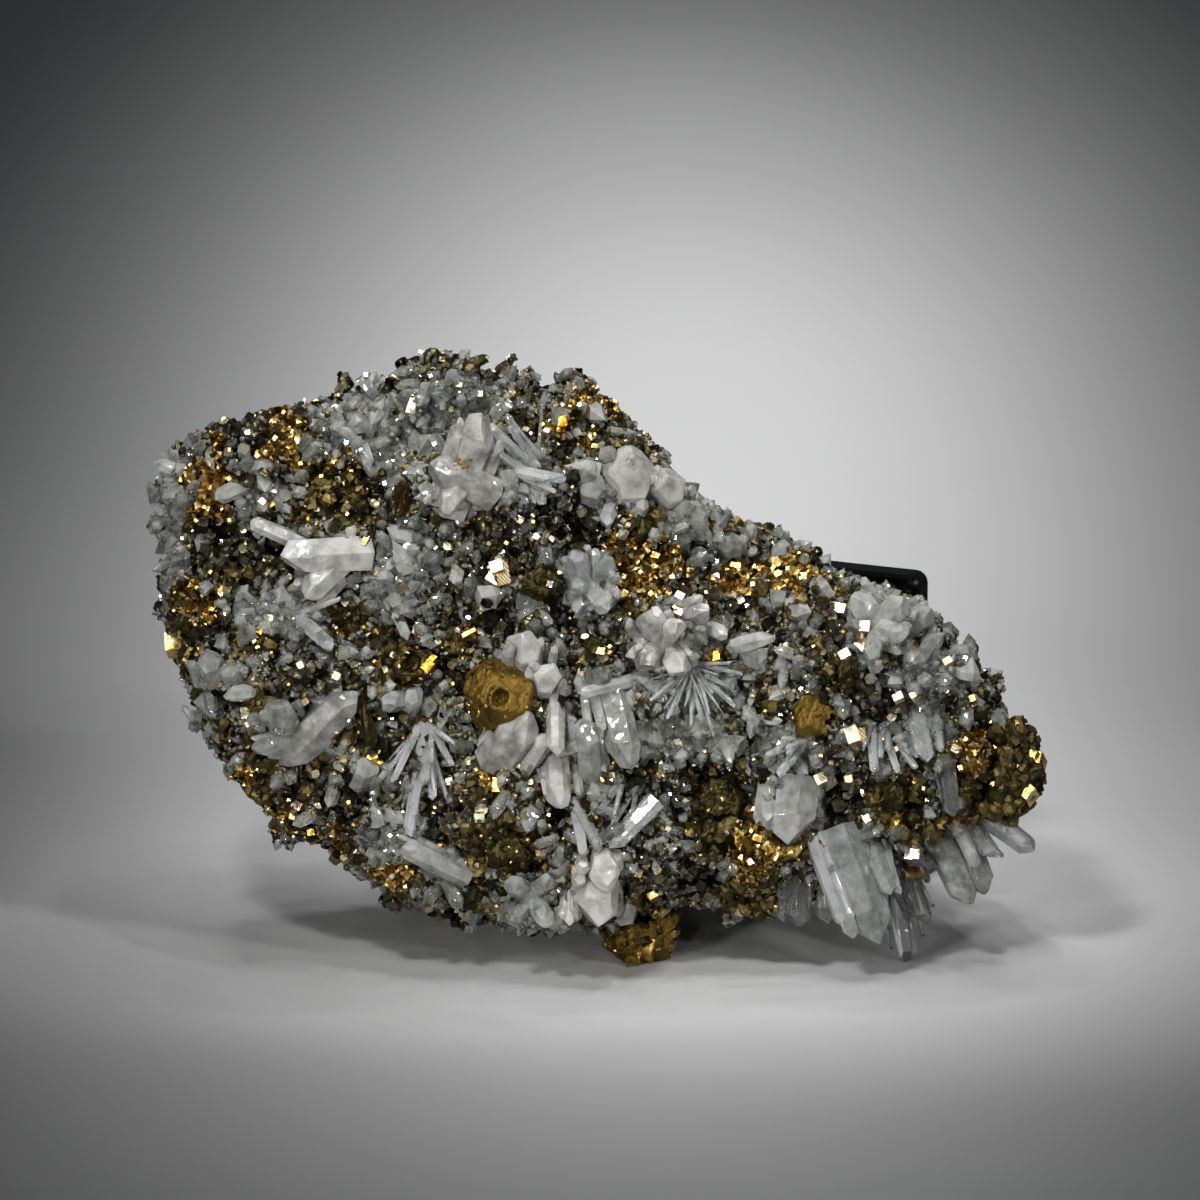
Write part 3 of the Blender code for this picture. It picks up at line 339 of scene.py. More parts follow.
# A few chips are painted orange: a painted glow that stands in for light bounced from one golden face to
# another.
painted_bounce_glow = sulphide_material("painted orange glow", PAINTED_GLOW_STOPS, 0.25, 0.6, 0.3, 0.3)
print("materials so far:", len(bpy.data.materials))

# %% [markdown]
# ## The zones of the face
#
# On the real stone each mineral keeps to its own patches. Each zone below is an ellipse on the page: the
# middle, half the width and half the height in millimetres. A point takes the mineral of the zone that it
# lies deepest in, and a little noise frays the edges, so no ellipse can be seen.

# %% Zones of the minerals
GOLD_ZONES = [
    (-31.3, 52.9, 2.2, 3.1), (-37.8, 52.6, 1.8, 1.0), (-38.8, 49.0, 2.4, 2.6), (-38.5, 46.2, 1.6, 1.4),
    (-40.0, 37.2, 2.1, 2.8), (-35.2, 33.6, 0.9, 0.8), (-25.0, 50.5, 1.6, 1.0), (-0.7, 56.9, 2.9, 1.6),
    (-3.7, 54.8, 0.9, 0.7), (-5.5, 53.8, 1.2, 0.7), (-1.0, 52.0, 1.6, 1.2), (3.0, 54.0, 1.6, 0.7),
    (4.9, 40.5, 4.2, 3.4), (13.6, 39.0, 1.9, 1.8), (18.1, 40.0, 2.8, 2.2), (22.5, 38.0, 1.4, 1.2),
    (-10.7, 20.0, 0.8, 1.6), (16.2, 12.6, 2.8, 3.2), (-32.0, 15.6, 2.6, 1.4), (-26.0, 13.5, 1.6, 0.9),
    (-20.0, 9.8, 2.0, 1.4), (-11.0, 6.4, 1.0, 0.7), (29.8, 36.5, 0.6, 0.7), (32.0, 31.5, 0.8, 0.6),
    (33.8, 33.0, 0.6, 0.6), (36.8, 22.0, 1.4, 3.0), (29.5, 15.0, 1.0, 0.9), (11.5, 31.5, 1.1, 0.8),
    (-35.5, 19.5, 1.2, 1.4), (36.0, 15.0, 2.0, 1.0), (-22.0, 21.2, 1.0, 0.8),
]
OLIVE_ZONES = [
    (-26.0, 47.5, 3.8, 3.2), (-40.3, 31.5, 1.8, 3.2), (4.0, 45.0, 2.0, 1.5), (12.0, 16.0, 3.4, 4.0),
    (-9.0, 12.4, 4.4, 3.6), (-13.5, 18.4, 2.2, 1.0), (-28.5, 18.3, 2.4, 1.4), (-19.5, 31.5, 3.2, 2.6),
    (-23.4, 24.6, 1.2, 3.0), (-13.0, 33.8, 1.2, 1.2), (24.0, 30.0, 2.0, 1.6), (29.0, 17.5, 3.0, 2.4),
    (38.5, 20.0, 3.6, 4.6), (5.0, 3.5, 3.4, 3.0), (-36.0, 39.8, 2.4, 1.2), (-5.5, 18.6, 1.6, 1.6),
    (-25.5, 34.8, 2.0, 1.2), (31.5, 14.0, 2.6, 1.6), (-34.0, 19.5, 2.4, 2.2), (14.5, 7.6, 3.2, 1.6),
]
DARK_ZONES = [
    (-36.5, 42.5, 2.8, 2.4), (-34.5, 54.6, 2.8, 1.6), (-22.3, 47.0, 1.8, 3.0), (-4.6, 45.2, 2.8, 3.8),
    (-10.0, 43.5, 3.2, 1.6), (-3.5, 53.0, 3.0, 1.4), (-10.0, 36.0, 2.6, 1.6), (-3.0, 34.0, 1.6, 2.2),
    (-23.3, 34.0, 1.6, 1.6), (-21.5, 57.0, 2.2, 1.4), (14.5, 41.2, 1.8, 1.4), (25.0, 32.8, 2.4, 1.6),
    (28.0, 27.0, 3.4, 1.8), (24.5, 17.0, 2.2, 3.0), (12.2, 19.3, 2.8, 1.6), (-14.5, 16.0, 3.6, 2.0),
    (-3.6, 15.6, 2.6, 1.2), (-38.2, 34.2, 2.2, 1.2), (-12.5, 21.0, 1.2, 1.0), (4.6, 10.6, 1.4, 1.8),
    (9.5, 9.0, 2.2, 2.4), (-24.5, 18.0, 1.6, 2.6), (-21.5, 22.6, 1.4, 1.6), (-33.0, 24.0, 1.2, 1.4),
    (-29.0, 29.6, 2.0, 1.6), (17.0, 34.0, 2.0, 1.4), (35.0, 26.8, 1.6, 2.0), (-27.0, 55.6, 2.0, 1.0),
]
PALE_ZONES = [
    (-43.0, 44.5, 1.9, 6.5), (-40.3, 52.8, 1.0, 0.8), (-22.5, 53.6, 5.5, 4.2), (-20.2, 39.6, 3.4, 4.4),
    (-32.5, 36.2, 3.8, 2.2), (-5.5, 4.6, 4.6, 1.6), (28.0, 35.2, 4.0, 4.0), (8.5, 28.8, 4.5, 2.4),
    (9.0, 33.5, 3.5, 2.0), (-15.0, 56.5, 5.0, 2.6), (7.0, 47.0, 5.0, 3.4), (-8.0, 49.5, 4.4, 3.0),
    (33.0, 29.6, 3.0, 2.2), (-40.5, 28.0, 1.6, 2.6), (32.5, 24.0, 2.6, 2.6), (8.0, 24.4, 5.0, 3.2),
    (18.5, 23.0, 3.0, 2.4), (-21.0, 13.4, 3.4, 1.8), (-34.6, 47.4, 2.4, 1.4),
]
print("zones on the face:", sum(map(len, (GOLD_ZONES, OLIVE_ZONES, DARK_ZONES, PALE_ZONES))))

# %% [markdown]
# ### From a point to its mineral
#
# Between the zones the ground is grey quartz with stray dark and olive patches. Behind the rim, where the
# specimen was broken off, there are no zones, only wide blotches of noise.

# %% Where each mineral grows
GREY, PALE, DARK, OLIVE, GOLD = range(5)
BACK_STARTS = -3.5
BACK_FRAY = 1.5
ZONE_GROWTH = 1.1
ZONE_EDGE = 0.05
FRAY_WIDE, FRAY_FINE = 0.30, 0.16
STRAY_DARK, STRAY_OLIVE = 0.42, 0.62
BACK_DARK, BACK_OLIVE, BACK_GOLD = 0.1, -0.35, 0.7
NOISE_GAIN = 1.6


def depth_in(zones, points):
    """1 in the middle of the nearest zone, 0 on its edge and less outside."""
    best = np.full(len(points), -9.0)
    for x, y, half_width, half_height in zones:
        away = np.hypot((points[:, 0] - x) / half_width, (points[:, 1] - y) / half_height)
        best = np.maximum(best, 1 - away / ZONE_GROWTH)
    return best


def cloud_at(points, size_mm, shift=0.0):
    """Smooth noise from about -1 to 1 at each point."""
    moved = points / size_mm + shift
    return np.array([noise.noise(Vector(place)) for place in moved]) * NOISE_GAIN


def mineral_at(points):
    """The mineral of each point: zones on the face, blotches of noise on the broken back."""
    fray = FRAY_WIDE * cloud_at(points, 1.1) + FRAY_FINE * cloud_at(points, 0.5, 9.0)
    wide = cloud_at(points, 3.4, 3.0)
    kind = np.where(wide > STRAY_DARK, DARK, GREY)
    kind = np.where(cloud_at(points, 2.6, 21.0) > STRAY_OLIVE, OLIVE, kind)
    zones_of = {DARK: DARK_ZONES, PALE: PALE_ZONES, OLIVE: OLIVE_ZONES, GOLD: GOLD_ZONES}
    for mineral, zones in zones_of.items():
        kind = np.where(depth_in(zones, points) + fray > ZONE_EDGE, mineral, kind)
    back = np.where(wide > BACK_DARK, DARK, np.where(wide > BACK_OLIVE, OLIVE, PALE))
    back = np.where(cloud_at(points, 5.0, 40.0) > BACK_GOLD, GOLD, back)
    return np.where(points[:, 2] < BACK_STARTS + BACK_FRAY * fray, back, kind)


# %% [markdown]
# ## The rock
#
# The frame's rock has the right form, but its faces are several millimetres wide. Ore in the vein is a mass
# of grains, each with a flat broken or grown face of its own. So a copy of the rock is remeshed to half a
# millimetre, grain centres are strewn over it, and each point moves to the tilted plane of its nearest
# grain. That gives a crystalline surface, where noise alone would give a soft one.

# %% Grain tools
def remeshed(bm, name, size):
    """This body with even faces of this size, as a mesh."""
    rough = bpy.data.meshes.new(name)
    bm.to_mesh(rough)
    bm.free()
    body = bpy.data.objects.new(name, rough)
    bpy.context.scene.collection.objects.link(body)
    remesh = body.modifiers.new("even faces", "REMESH")
    remesh.mode = "VOXEL"
    remesh.voxel_size = size
    graph = bpy.context.evaluated_depsgraph_get()
    mesh = bpy.data.meshes.new_from_object(body.evaluated_get(graph))
    bpy.data.objects.remove(body)
    return mesh


def mesh_normals(mesh):
    """The outward directions at a mesh's points, one row each."""
    normals = np.empty(len(mesh.vertices) * 3, dtype=np.float32)
    mesh.vertices.foreach_get("normal", normals)
    return normals.reshape(-1, 3).astype(float)


def spread_out(points, spacing):
    """The indices of points that keep this distance from every one before them."""
    cells = {}
    kept = []
    for index, place in enumerate(points):
        cell = tuple((place // spacing).astype(int))
        near = [
            other
            for x in (-1, 0, 1)
            for y in (-1, 0, 1)
            for z in (-1, 0, 1)
            for other in cells.get((cell[0] + x, cell[1] + y, cell[2] + z), ())
        ]
        if all(math.dist(place, other) > spacing for other in near):
            cells.setdefault(cell, []).append(place)
            kept.append(index)
    return np.array(kept, dtype=int)


def nearest_of(seeds, points):
    """For each point, the index of the nearest seed."""
    tree = kdtree.KDTree(len(seeds))
    for index, seed in enumerate(seeds):
        tree.insert(seed, index)
    tree.balance()
    return np.array([tree.find(place)[1] for place in points])


# %% Shape the rock
ROCK_VOXEL = 0.46
GRAIN_SPACING = 1.25
GRAIN_TILT = 0.42
GRAIN_SINK = 0.34
GRAIN_RISE = 0.3 * GRAIN_SINK
WAVE_HEIGHT, WAVE_SIZE = 0.35, 2.4
DEEPEST_PIT, HIGHEST_GRAIN = -1.0, 0.45
DARKEST_TO_LIGHTEST = 0.55

rock_body = merged_copy("matrix")
rock_tree = BVHTree.FromBMesh(rock_body)
rock_mesh = remeshed(rock_body, "ore_rock", ROCK_VOXEL)
rock_points = mesh_points(rock_mesh)
rock_normals = mesh_normals(rock_mesh)
order = rng.permutation(len(rock_points))
seeds = rock_points[order[spread_out(rock_points[order], GRAIN_SPACING)]]
grain_of = nearest_of(seeds, rock_points)
tilts = rng.normal(0, GRAIN_TILT, seeds.shape)
steps = rng.uniform(-GRAIN_SINK, GRAIN_RISE, len(seeds))
offset = ((rock_points - seeds[grain_of]) * tilts[grain_of]).sum(1) + steps[grain_of]
offset += WAVE_HEIGHT * cloud_at(rock_points, WAVE_SIZE, 60.0)
rock_points = rock_points + rock_normals * np.clip(offset, DEEPEST_PIT, HIGHEST_GRAIN)[:, None]
rock_mesh.vertices.foreach_set("co", rock_points.ravel())
rock_mesh.update()
grain_mineral = mineral_at(seeds)
grain_tone = rng.uniform(0, DARKEST_TO_LIGHTEST, len(seeds))
print("rock points:", len(rock_points), "grains:", len(seeds))

# %% [markdown]
# ### The rock's minerals
#
# Each grain of the rock is one mineral. The face's material index says which, and a number on each point,
# called tone, makes one grain lighter or darker than the next.

# %% Dress the rock
# Grey quartz grains take the dark groundmass colour, which is partly painted shade of the gaps between
# crystals.
ROCK_MATERIALS = [dark_rock_with_painted_shade, druse_quartz, dark_galena, olive_chalcopyrite, gold_chalcopyrite]


def set_number(mesh, name, values):
    """Stores one number for each point of the mesh."""
    layer = mesh.attributes.new(name, "FLOAT", "POINT")
    layer.data.foreach_set("value", np.asarray(values, dtype=np.float32))


set_number(rock_mesh, "tone", grain_tone[grain_of])
first_corner = np.empty(len(rock_mesh.polygons), dtype=np.int32)
rock_mesh.polygons.foreach_get("loop_start", first_corner)
corner_point = np.empty(len(rock_mesh.loops), dtype=np.int32)
rock_mesh.loops.foreach_get("vertex_index", corner_point)
rock_faces = corner_point[first_corner[:, None] + np.arange(4)]
face_grain = grain_of[rock_faces[:, 0]]
rock_mesh.polygons.foreach_set("material_index", grain_mineral[face_grain].astype(np.int32))
place_piece(rock_mesh, "ore_rock", "matrix", ROCK_MATERIALS, "matrix")

# %% [markdown]
# ## Crystals by cutting
#
# A crystal is bounded by planes at fixed angles, so the natural way to make one is to start with a block
# and cut it with planes, as a gem cutter does. A quartz crystal is a six-sided prism whose point has three
# large and three small faces, 38 degrees off its long axis. Moving each plane a little in or out gives the
# uneven crystals of a real druse, and the angles stay right.

# %% Cutting tools
class Form:
    """A cut crystal: its corners, its faces and its height."""

    def __init__(self, bm):
        bm.verts.index_update()
        self.points = np.array([vert.co for vert in bm.verts])
        self.faces = [[vert.index for vert in face.verts] for face in bm.faces]
        self.height = self.points[:, 2].max()
        bm.free()


def cut_away(bm, point, outward):
    """Removes what lies outside a plane and closes the cut."""
    body = bm.verts[:] + bm.edges[:] + bm.faces[:]
    bmesh.ops.bisect_plane(bm, geom=body, dist=1e-5, plane_co=point, plane_no=outward, clear_outer=True)
    rim = [edge for edge in bm.edges if edge.is_boundary]
    if rim:
        bmesh.ops.holes_fill(bm, edges=rim, sides=0)


def slanted(azimuth, slope):
    """The direction this far round the long axis and this far up from level."""
    level = math.cos(slope)
    return Vector((math.cos(azimuth) * level, math.sin(azimuth) * level, math.sin(slope)))


# %% [markdown]
# ### Quartz by cutting
#
# A point face slopes 51.8 degrees up from level. The small crystals of the druse get a point by poking the
# end of a prism, which costs few faces. The large ones are cut plane by plane, and a spindle at both ends.

# %% Quartz crystals
QUARTZ_POINT = math.radians(51.8)
NEAREST_SIDE = 0.8
SIDE_INSET = 0.9
TIP_SLIP = 0.25
LARGE_FACE, SMALL_FACE = (0.0, 0.12), (0.15, 0.5)


def small_quartz(length, dice):
    """A small quartz crystal on the z axis: a tapering prism whose six point faces meet in one tip."""
    bm = bmesh.new()
    upright = Matrix.Translation((0, 0, length / 2 - 0.5))
    sides = {"segments": 6, "radius1": 0.9, "radius2": 0.85, "depth": length - 1}
    bmesh.ops.create_cone(bm, cap_ends=True, matrix=upright, **sides)
    top = [face for face in bm.faces if face.normal.z > 0.9]
    tip = bmesh.ops.poke(bm, faces=top, offset=dice.uniform(0.9, 1.15))["verts"]
    bmesh.ops.translate(bm, verts=tip, vec=(dice.uniform(-0.3, 0.3), dice.uniform(-0.3, 0.3), 0))
    for vert in bm.verts:
        vert.co.x *= dice.uniform(0.85, 1.1)
        vert.co.y *= dice.uniform(0.85, 1.1)
    return bm


def cut_quartz(length, dice, radius, taper, both_ends):
    """A quartz crystal on the z axis: six sides and a point of three large and three small faces."""
    bm = bmesh.new()
    uncut = 1.35 * radius
    bmesh.ops.create_cone(bm, cap_ends=True, segments=6, radius1=uncut, radius2=uncut, depth=length)
    bmesh.ops.translate(bm, verts=bm.verts, vec=(0, 0, length / 2))
    for side in range(6):
        azimuth = math.radians(60 * side)
        reach = radius * dice.uniform(NEAREST_SIDE, 1.0) * SIDE_INSET
        widest = Vector((0, 0, length * (0.4 if both_ends else 0.0)))
        cut_away(bm, slanted(azimuth, 0) * reach + widest, slanted(azimuth, taper))
        if both_ends:
            cut_away(bm, slanted(azimuth, 0) * reach + widest, slanted(azimuth, -1.6 * taper))
    slip = Vector((dice.uniform(-TIP_SLIP, TIP_SLIP), dice.uniform(-TIP_SLIP, TIP_SLIP), 0)) * radius
    for side in range(6):
        back = dice.uniform(*(LARGE_FACE if side % 2 == 0 else SMALL_FACE))
        peak = slip + Vector((0, 0, length - 0.15 * radius + back * radius))
        azimuth = math.radians(60 * side)
        cut_away(bm, peak, slanted(azimuth, math.pi / 2 - QUARTZ_POINT))
        if both_ends:
            foot = Vector((0, 0, 0.1 - back)) * radius
            cut_away(bm, foot, slanted(azimuth, QUARTZ_POINT - math.pi / 2))
    return bm


# %% [markdown]
# ### Ore by cutting
#
# Chalcopyrite grows as stubby many-sided grains. The golden angle spreads their cutting planes evenly, and
# a little scatter makes each grain different. Galena and pyrite grow as cubes with blunted corners, and a
# cleavage chip is a plain block.

# %% Ore crystals
GOLDEN_ANGLE = math.pi * (3 - math.sqrt(5))
PLANE_SCATTER = 0.4
CORNER_SCATTER = (-0.08, 0.15)


def cut_block(faces, dice, nearest=0.72):
    """A stubby sulphide crystal, about 2 across: flat faces cut one by one off a cube."""
    bm = bmesh.new()
    bmesh.ops.create_cube(bm, size=3.0)
    for count in range(faces):
        up = 1 - 2 * (count + 0.5) / faces
        azimuth = GOLDEN_ANGLE * count + dice.uniform(-PLANE_SCATTER, PLANE_SCATTER)
        facing = slanted(azimuth, math.asin(up))
        cut_away(bm, facing * dice.uniform(nearest, 1.0), facing)
    return bm


def cut_cube(dice, corner=1.5):
    """A cube of galena or pyrite, 2 across, with its corners cut off a little."""
    bm = bmesh.new()
    bmesh.ops.create_cube(bm, size=2)
    for x in (-1, 1):
        for y in (-1, 1):
            for z in (-1, 1):
                facing = Vector((x, y, z)).normalized()
                cut_away(bm, facing * (corner + dice.uniform(*CORNER_SCATTER)), facing)
    return bm


def plain_block():
    """A cleavage chip, 2 across: plain flat sides and nothing cut off."""
    bm = bmesh.new()
    bmesh.ops.create_cube(bm, size=2)
    return bm


# %% A stock of small forms
DRUSE_LENGTHS = (1.6, 2.0, 2.5, 3.2, 4.0, 5.0)
druse_forms = [Form(small_quartz(length, dice)) for length in DRUSE_LENGTHS for _ in range(3)]
grain_forms = [Form(cut_block(7, dice)) for _ in range(8)]
lump_forms = [Form(cut_block(13, dice, 0.84)) for _ in range(6)]
cube_forms = [Form(cut_cube(dice)) for _ in range(4)]
square_forms = [Form(cut_cube(dice, 1.72)) for _ in range(4)]
chip_forms = [Form(plain_block())]
every_form = druse_forms + grain_forms + lump_forms + cube_forms + square_forms + chip_forms
print("crystal forms:", len(every_form), "corners in all:", sum(len(form.points) for form in every_form))

# %% [markdown]
# ## Many crystals in one mesh
#
# Thousands of objects would be slow, and the export drops instances. So the copies are written
# into one mesh as arrays: numpy turns and moves the corners of a form for all its copies at once.

# %% Join copies
def turned_to(axes, rng):
    """For each long axis, a matrix whose columns are two sides, at a random turn, and the axis."""
    axes = unit(axes)
    side = unit(np.cross(axes, rng.normal(size=axes.shape)))
    return np.stack((side, np.cross(axes, side), axes), axis=-1)


def joined(name, batches):
    """One mesh of all the copies. A batch is a form, the turns, the places and the tones of its copies."""
    points, corners, totals, tones = [], [], [], []
    start = 0
    for form, turns, places, tone in batches:
        count = len(places)
        placed = np.einsum("nij,vj->nvi", turns, form.points) + places[:, None, :]
        shift = start + np.arange(count)[:, None] * len(form.points)
        flat = np.concatenate(form.faces)
        points.append(placed.reshape(-1, 3))
        corners.append((flat[None, :] + shift).ravel())
        totals.append(np.tile([len(face) for face in form.faces], count))
        tones.append(np.repeat(tone, len(form.points)))
        start += count * len(form.points)
    points = np.concatenate(points)
    corners = np.concatenate(corners)
    totals = np.concatenate(totals)
    mesh = bpy.data.meshes.new(name)
    mesh.vertices.add(len(points))
    mesh.vertices.foreach_set("co", points.ravel())
    mesh.loops.add(len(corners))
    mesh.loops.foreach_set("vertex_index", corners.astype(np.int32))
    mesh.polygons.add(len(totals))
    starts = np.concatenate(([0], np.cumsum(totals)[:-1]))
    mesh.polygons.foreach_set("loop_start", starts.astype(np.int32))
    mesh.update(calc_edges=True)
    mesh.validate()
    set_number(mesh, "tone", np.concatenate(tones))
    return mesh


# %% [markdown]
# ## Sowing
#
# Crystals start from points strewn over the rock's surface. A point is kept if the mineral there is the
# right one, if no crystal of its kind is too close, and if no large crystal stands over it. The
# crystal grows along the surface's outward direction, with some scatter, and its root is sunk in the rock.

# %% The rock's surface as triangles
face_points = rock_points[rock_faces]
triangles = np.concatenate((face_points[:, [0, 1, 2]], face_points[:, [0, 2, 3]]))
smooth = rock_normals[rock_faces]
triangle_normals = unit(np.concatenate((smooth[:, [0, 1, 2]], smooth[:, [0, 2, 3]])).mean(1))
triangle_grain = np.concatenate((face_grain, face_grain))
edges_a = triangles[:, 1] - triangles[:, 0]
edges_b = triangles[:, 2] - triangles[:, 0]
triangle_areas = np.linalg.norm(np.cross(edges_a, edges_b), axis=1) / 2
print("the rock's surface:", round(triangle_areas.sum() / 100), "square centimetres")

# %% Sow points
FLOOR_CLEARANCE = 0.25
BOX_CLEARANCE = 0.15
TOWARDS_VIEWER = 0.3
BOX_LOW, BOX_HIGH = (np.array(corner) / MM for corner in cad_box)
turn_to_world = np.array(FACE_TURN.to_3x3())


def in_world_mm(points):
    """Points of the page as places in the frame, in millimetres."""
    return points @ turn_to_world.T + np.array(FACE_SHIFT)


def fits(tips):
    """Whether each tip stays inside the frame's box and off the floor."""
    places = in_world_mm(tips)
    inside = (places > BOX_LOW + BOX_CLEARANCE) & (places < BOX_HIGH - BOX_CLEARANCE)
    return np.all(inside, axis=1) & (places[:, 2] > FLOOR_CLEARANCE)


def points_on(piece, count, spacing, rng):
    """Points and outward directions spread over a finished piece's surface, on the page."""
    mesh = piece.data
    corners = np.array([list(triangle.vertices) for triangle in mesh.loop_triangles])
    flat = np.array(WORLD_TO_FACE.to_3x3()) @ mesh_points(mesh).T
    places = (flat.T + np.array(WORLD_TO_FACE.translation))[corners]
    facing = np.cross(places[:, 1] - places[:, 0], places[:, 2] - places[:, 0])
    size = np.linalg.norm(facing, axis=1)
    picks = rng.choice(len(places), size=count, p=size / size.sum())
    shares = rng.dirichlet((1, 1, 1), count)
    points = (places[picks] * shares[:, :, None]).sum(1)
    chosen = spread_out(points, spacing)
    return points[chosen], unit(facing[picks])[chosen]


def sow(tries, spacing, minerals, rng, behind=None):
    """Points of these minerals, this far apart, with the outward direction at each.

    Behind is the share of them that is kept on the broken back."""
    picks = rng.choice(len(triangles), size=tries, p=triangle_areas / triangle_areas.sum())
    across = rng.uniform(size=(tries, 2))
    across = np.where(across.sum(1, keepdims=True) > 1, 1 - across, across)
    points = triangles[picks, 0] + edges_a[picks] * across[:, :1] + edges_b[picks] * across[:, 1:]
    keep = np.isin(grain_mineral[triangle_grain[picks]], minerals)
    keep &= ~covered(points)
    if behind is not None:
        keep &= rng.uniform(size=tries) < np.where(points[:, 2] > BACK_STARTS, 1.0, behind)
    points, normals = points[keep], triangle_normals[picks][keep]
    chosen = spread_out(points, spacing)
    return points[chosen], normals[chosen]


def grow(points, normals, lean, rng):
    """Directions near the outward one, turned towards the open face where the rock's rim is."""
    on_face = points[:, 2:] > BACK_STARTS
    towards_viewer = np.where(on_face, TOWARDS_VIEWER, 0.0) * np.array([[0, 0, 1.0]])
    return unit(normals + towards_viewer + rng.normal(0, lean, normals.shape))


# %% [markdown]
# ## The large quartz crystals
#
# These are the crystals that can be told one from another. Each is a root and a tip on the page, a width,
# and how far its tip rises over the rock at its root, the same values that the frame's solids were made
# from. Crystals in one group grew together from one root.

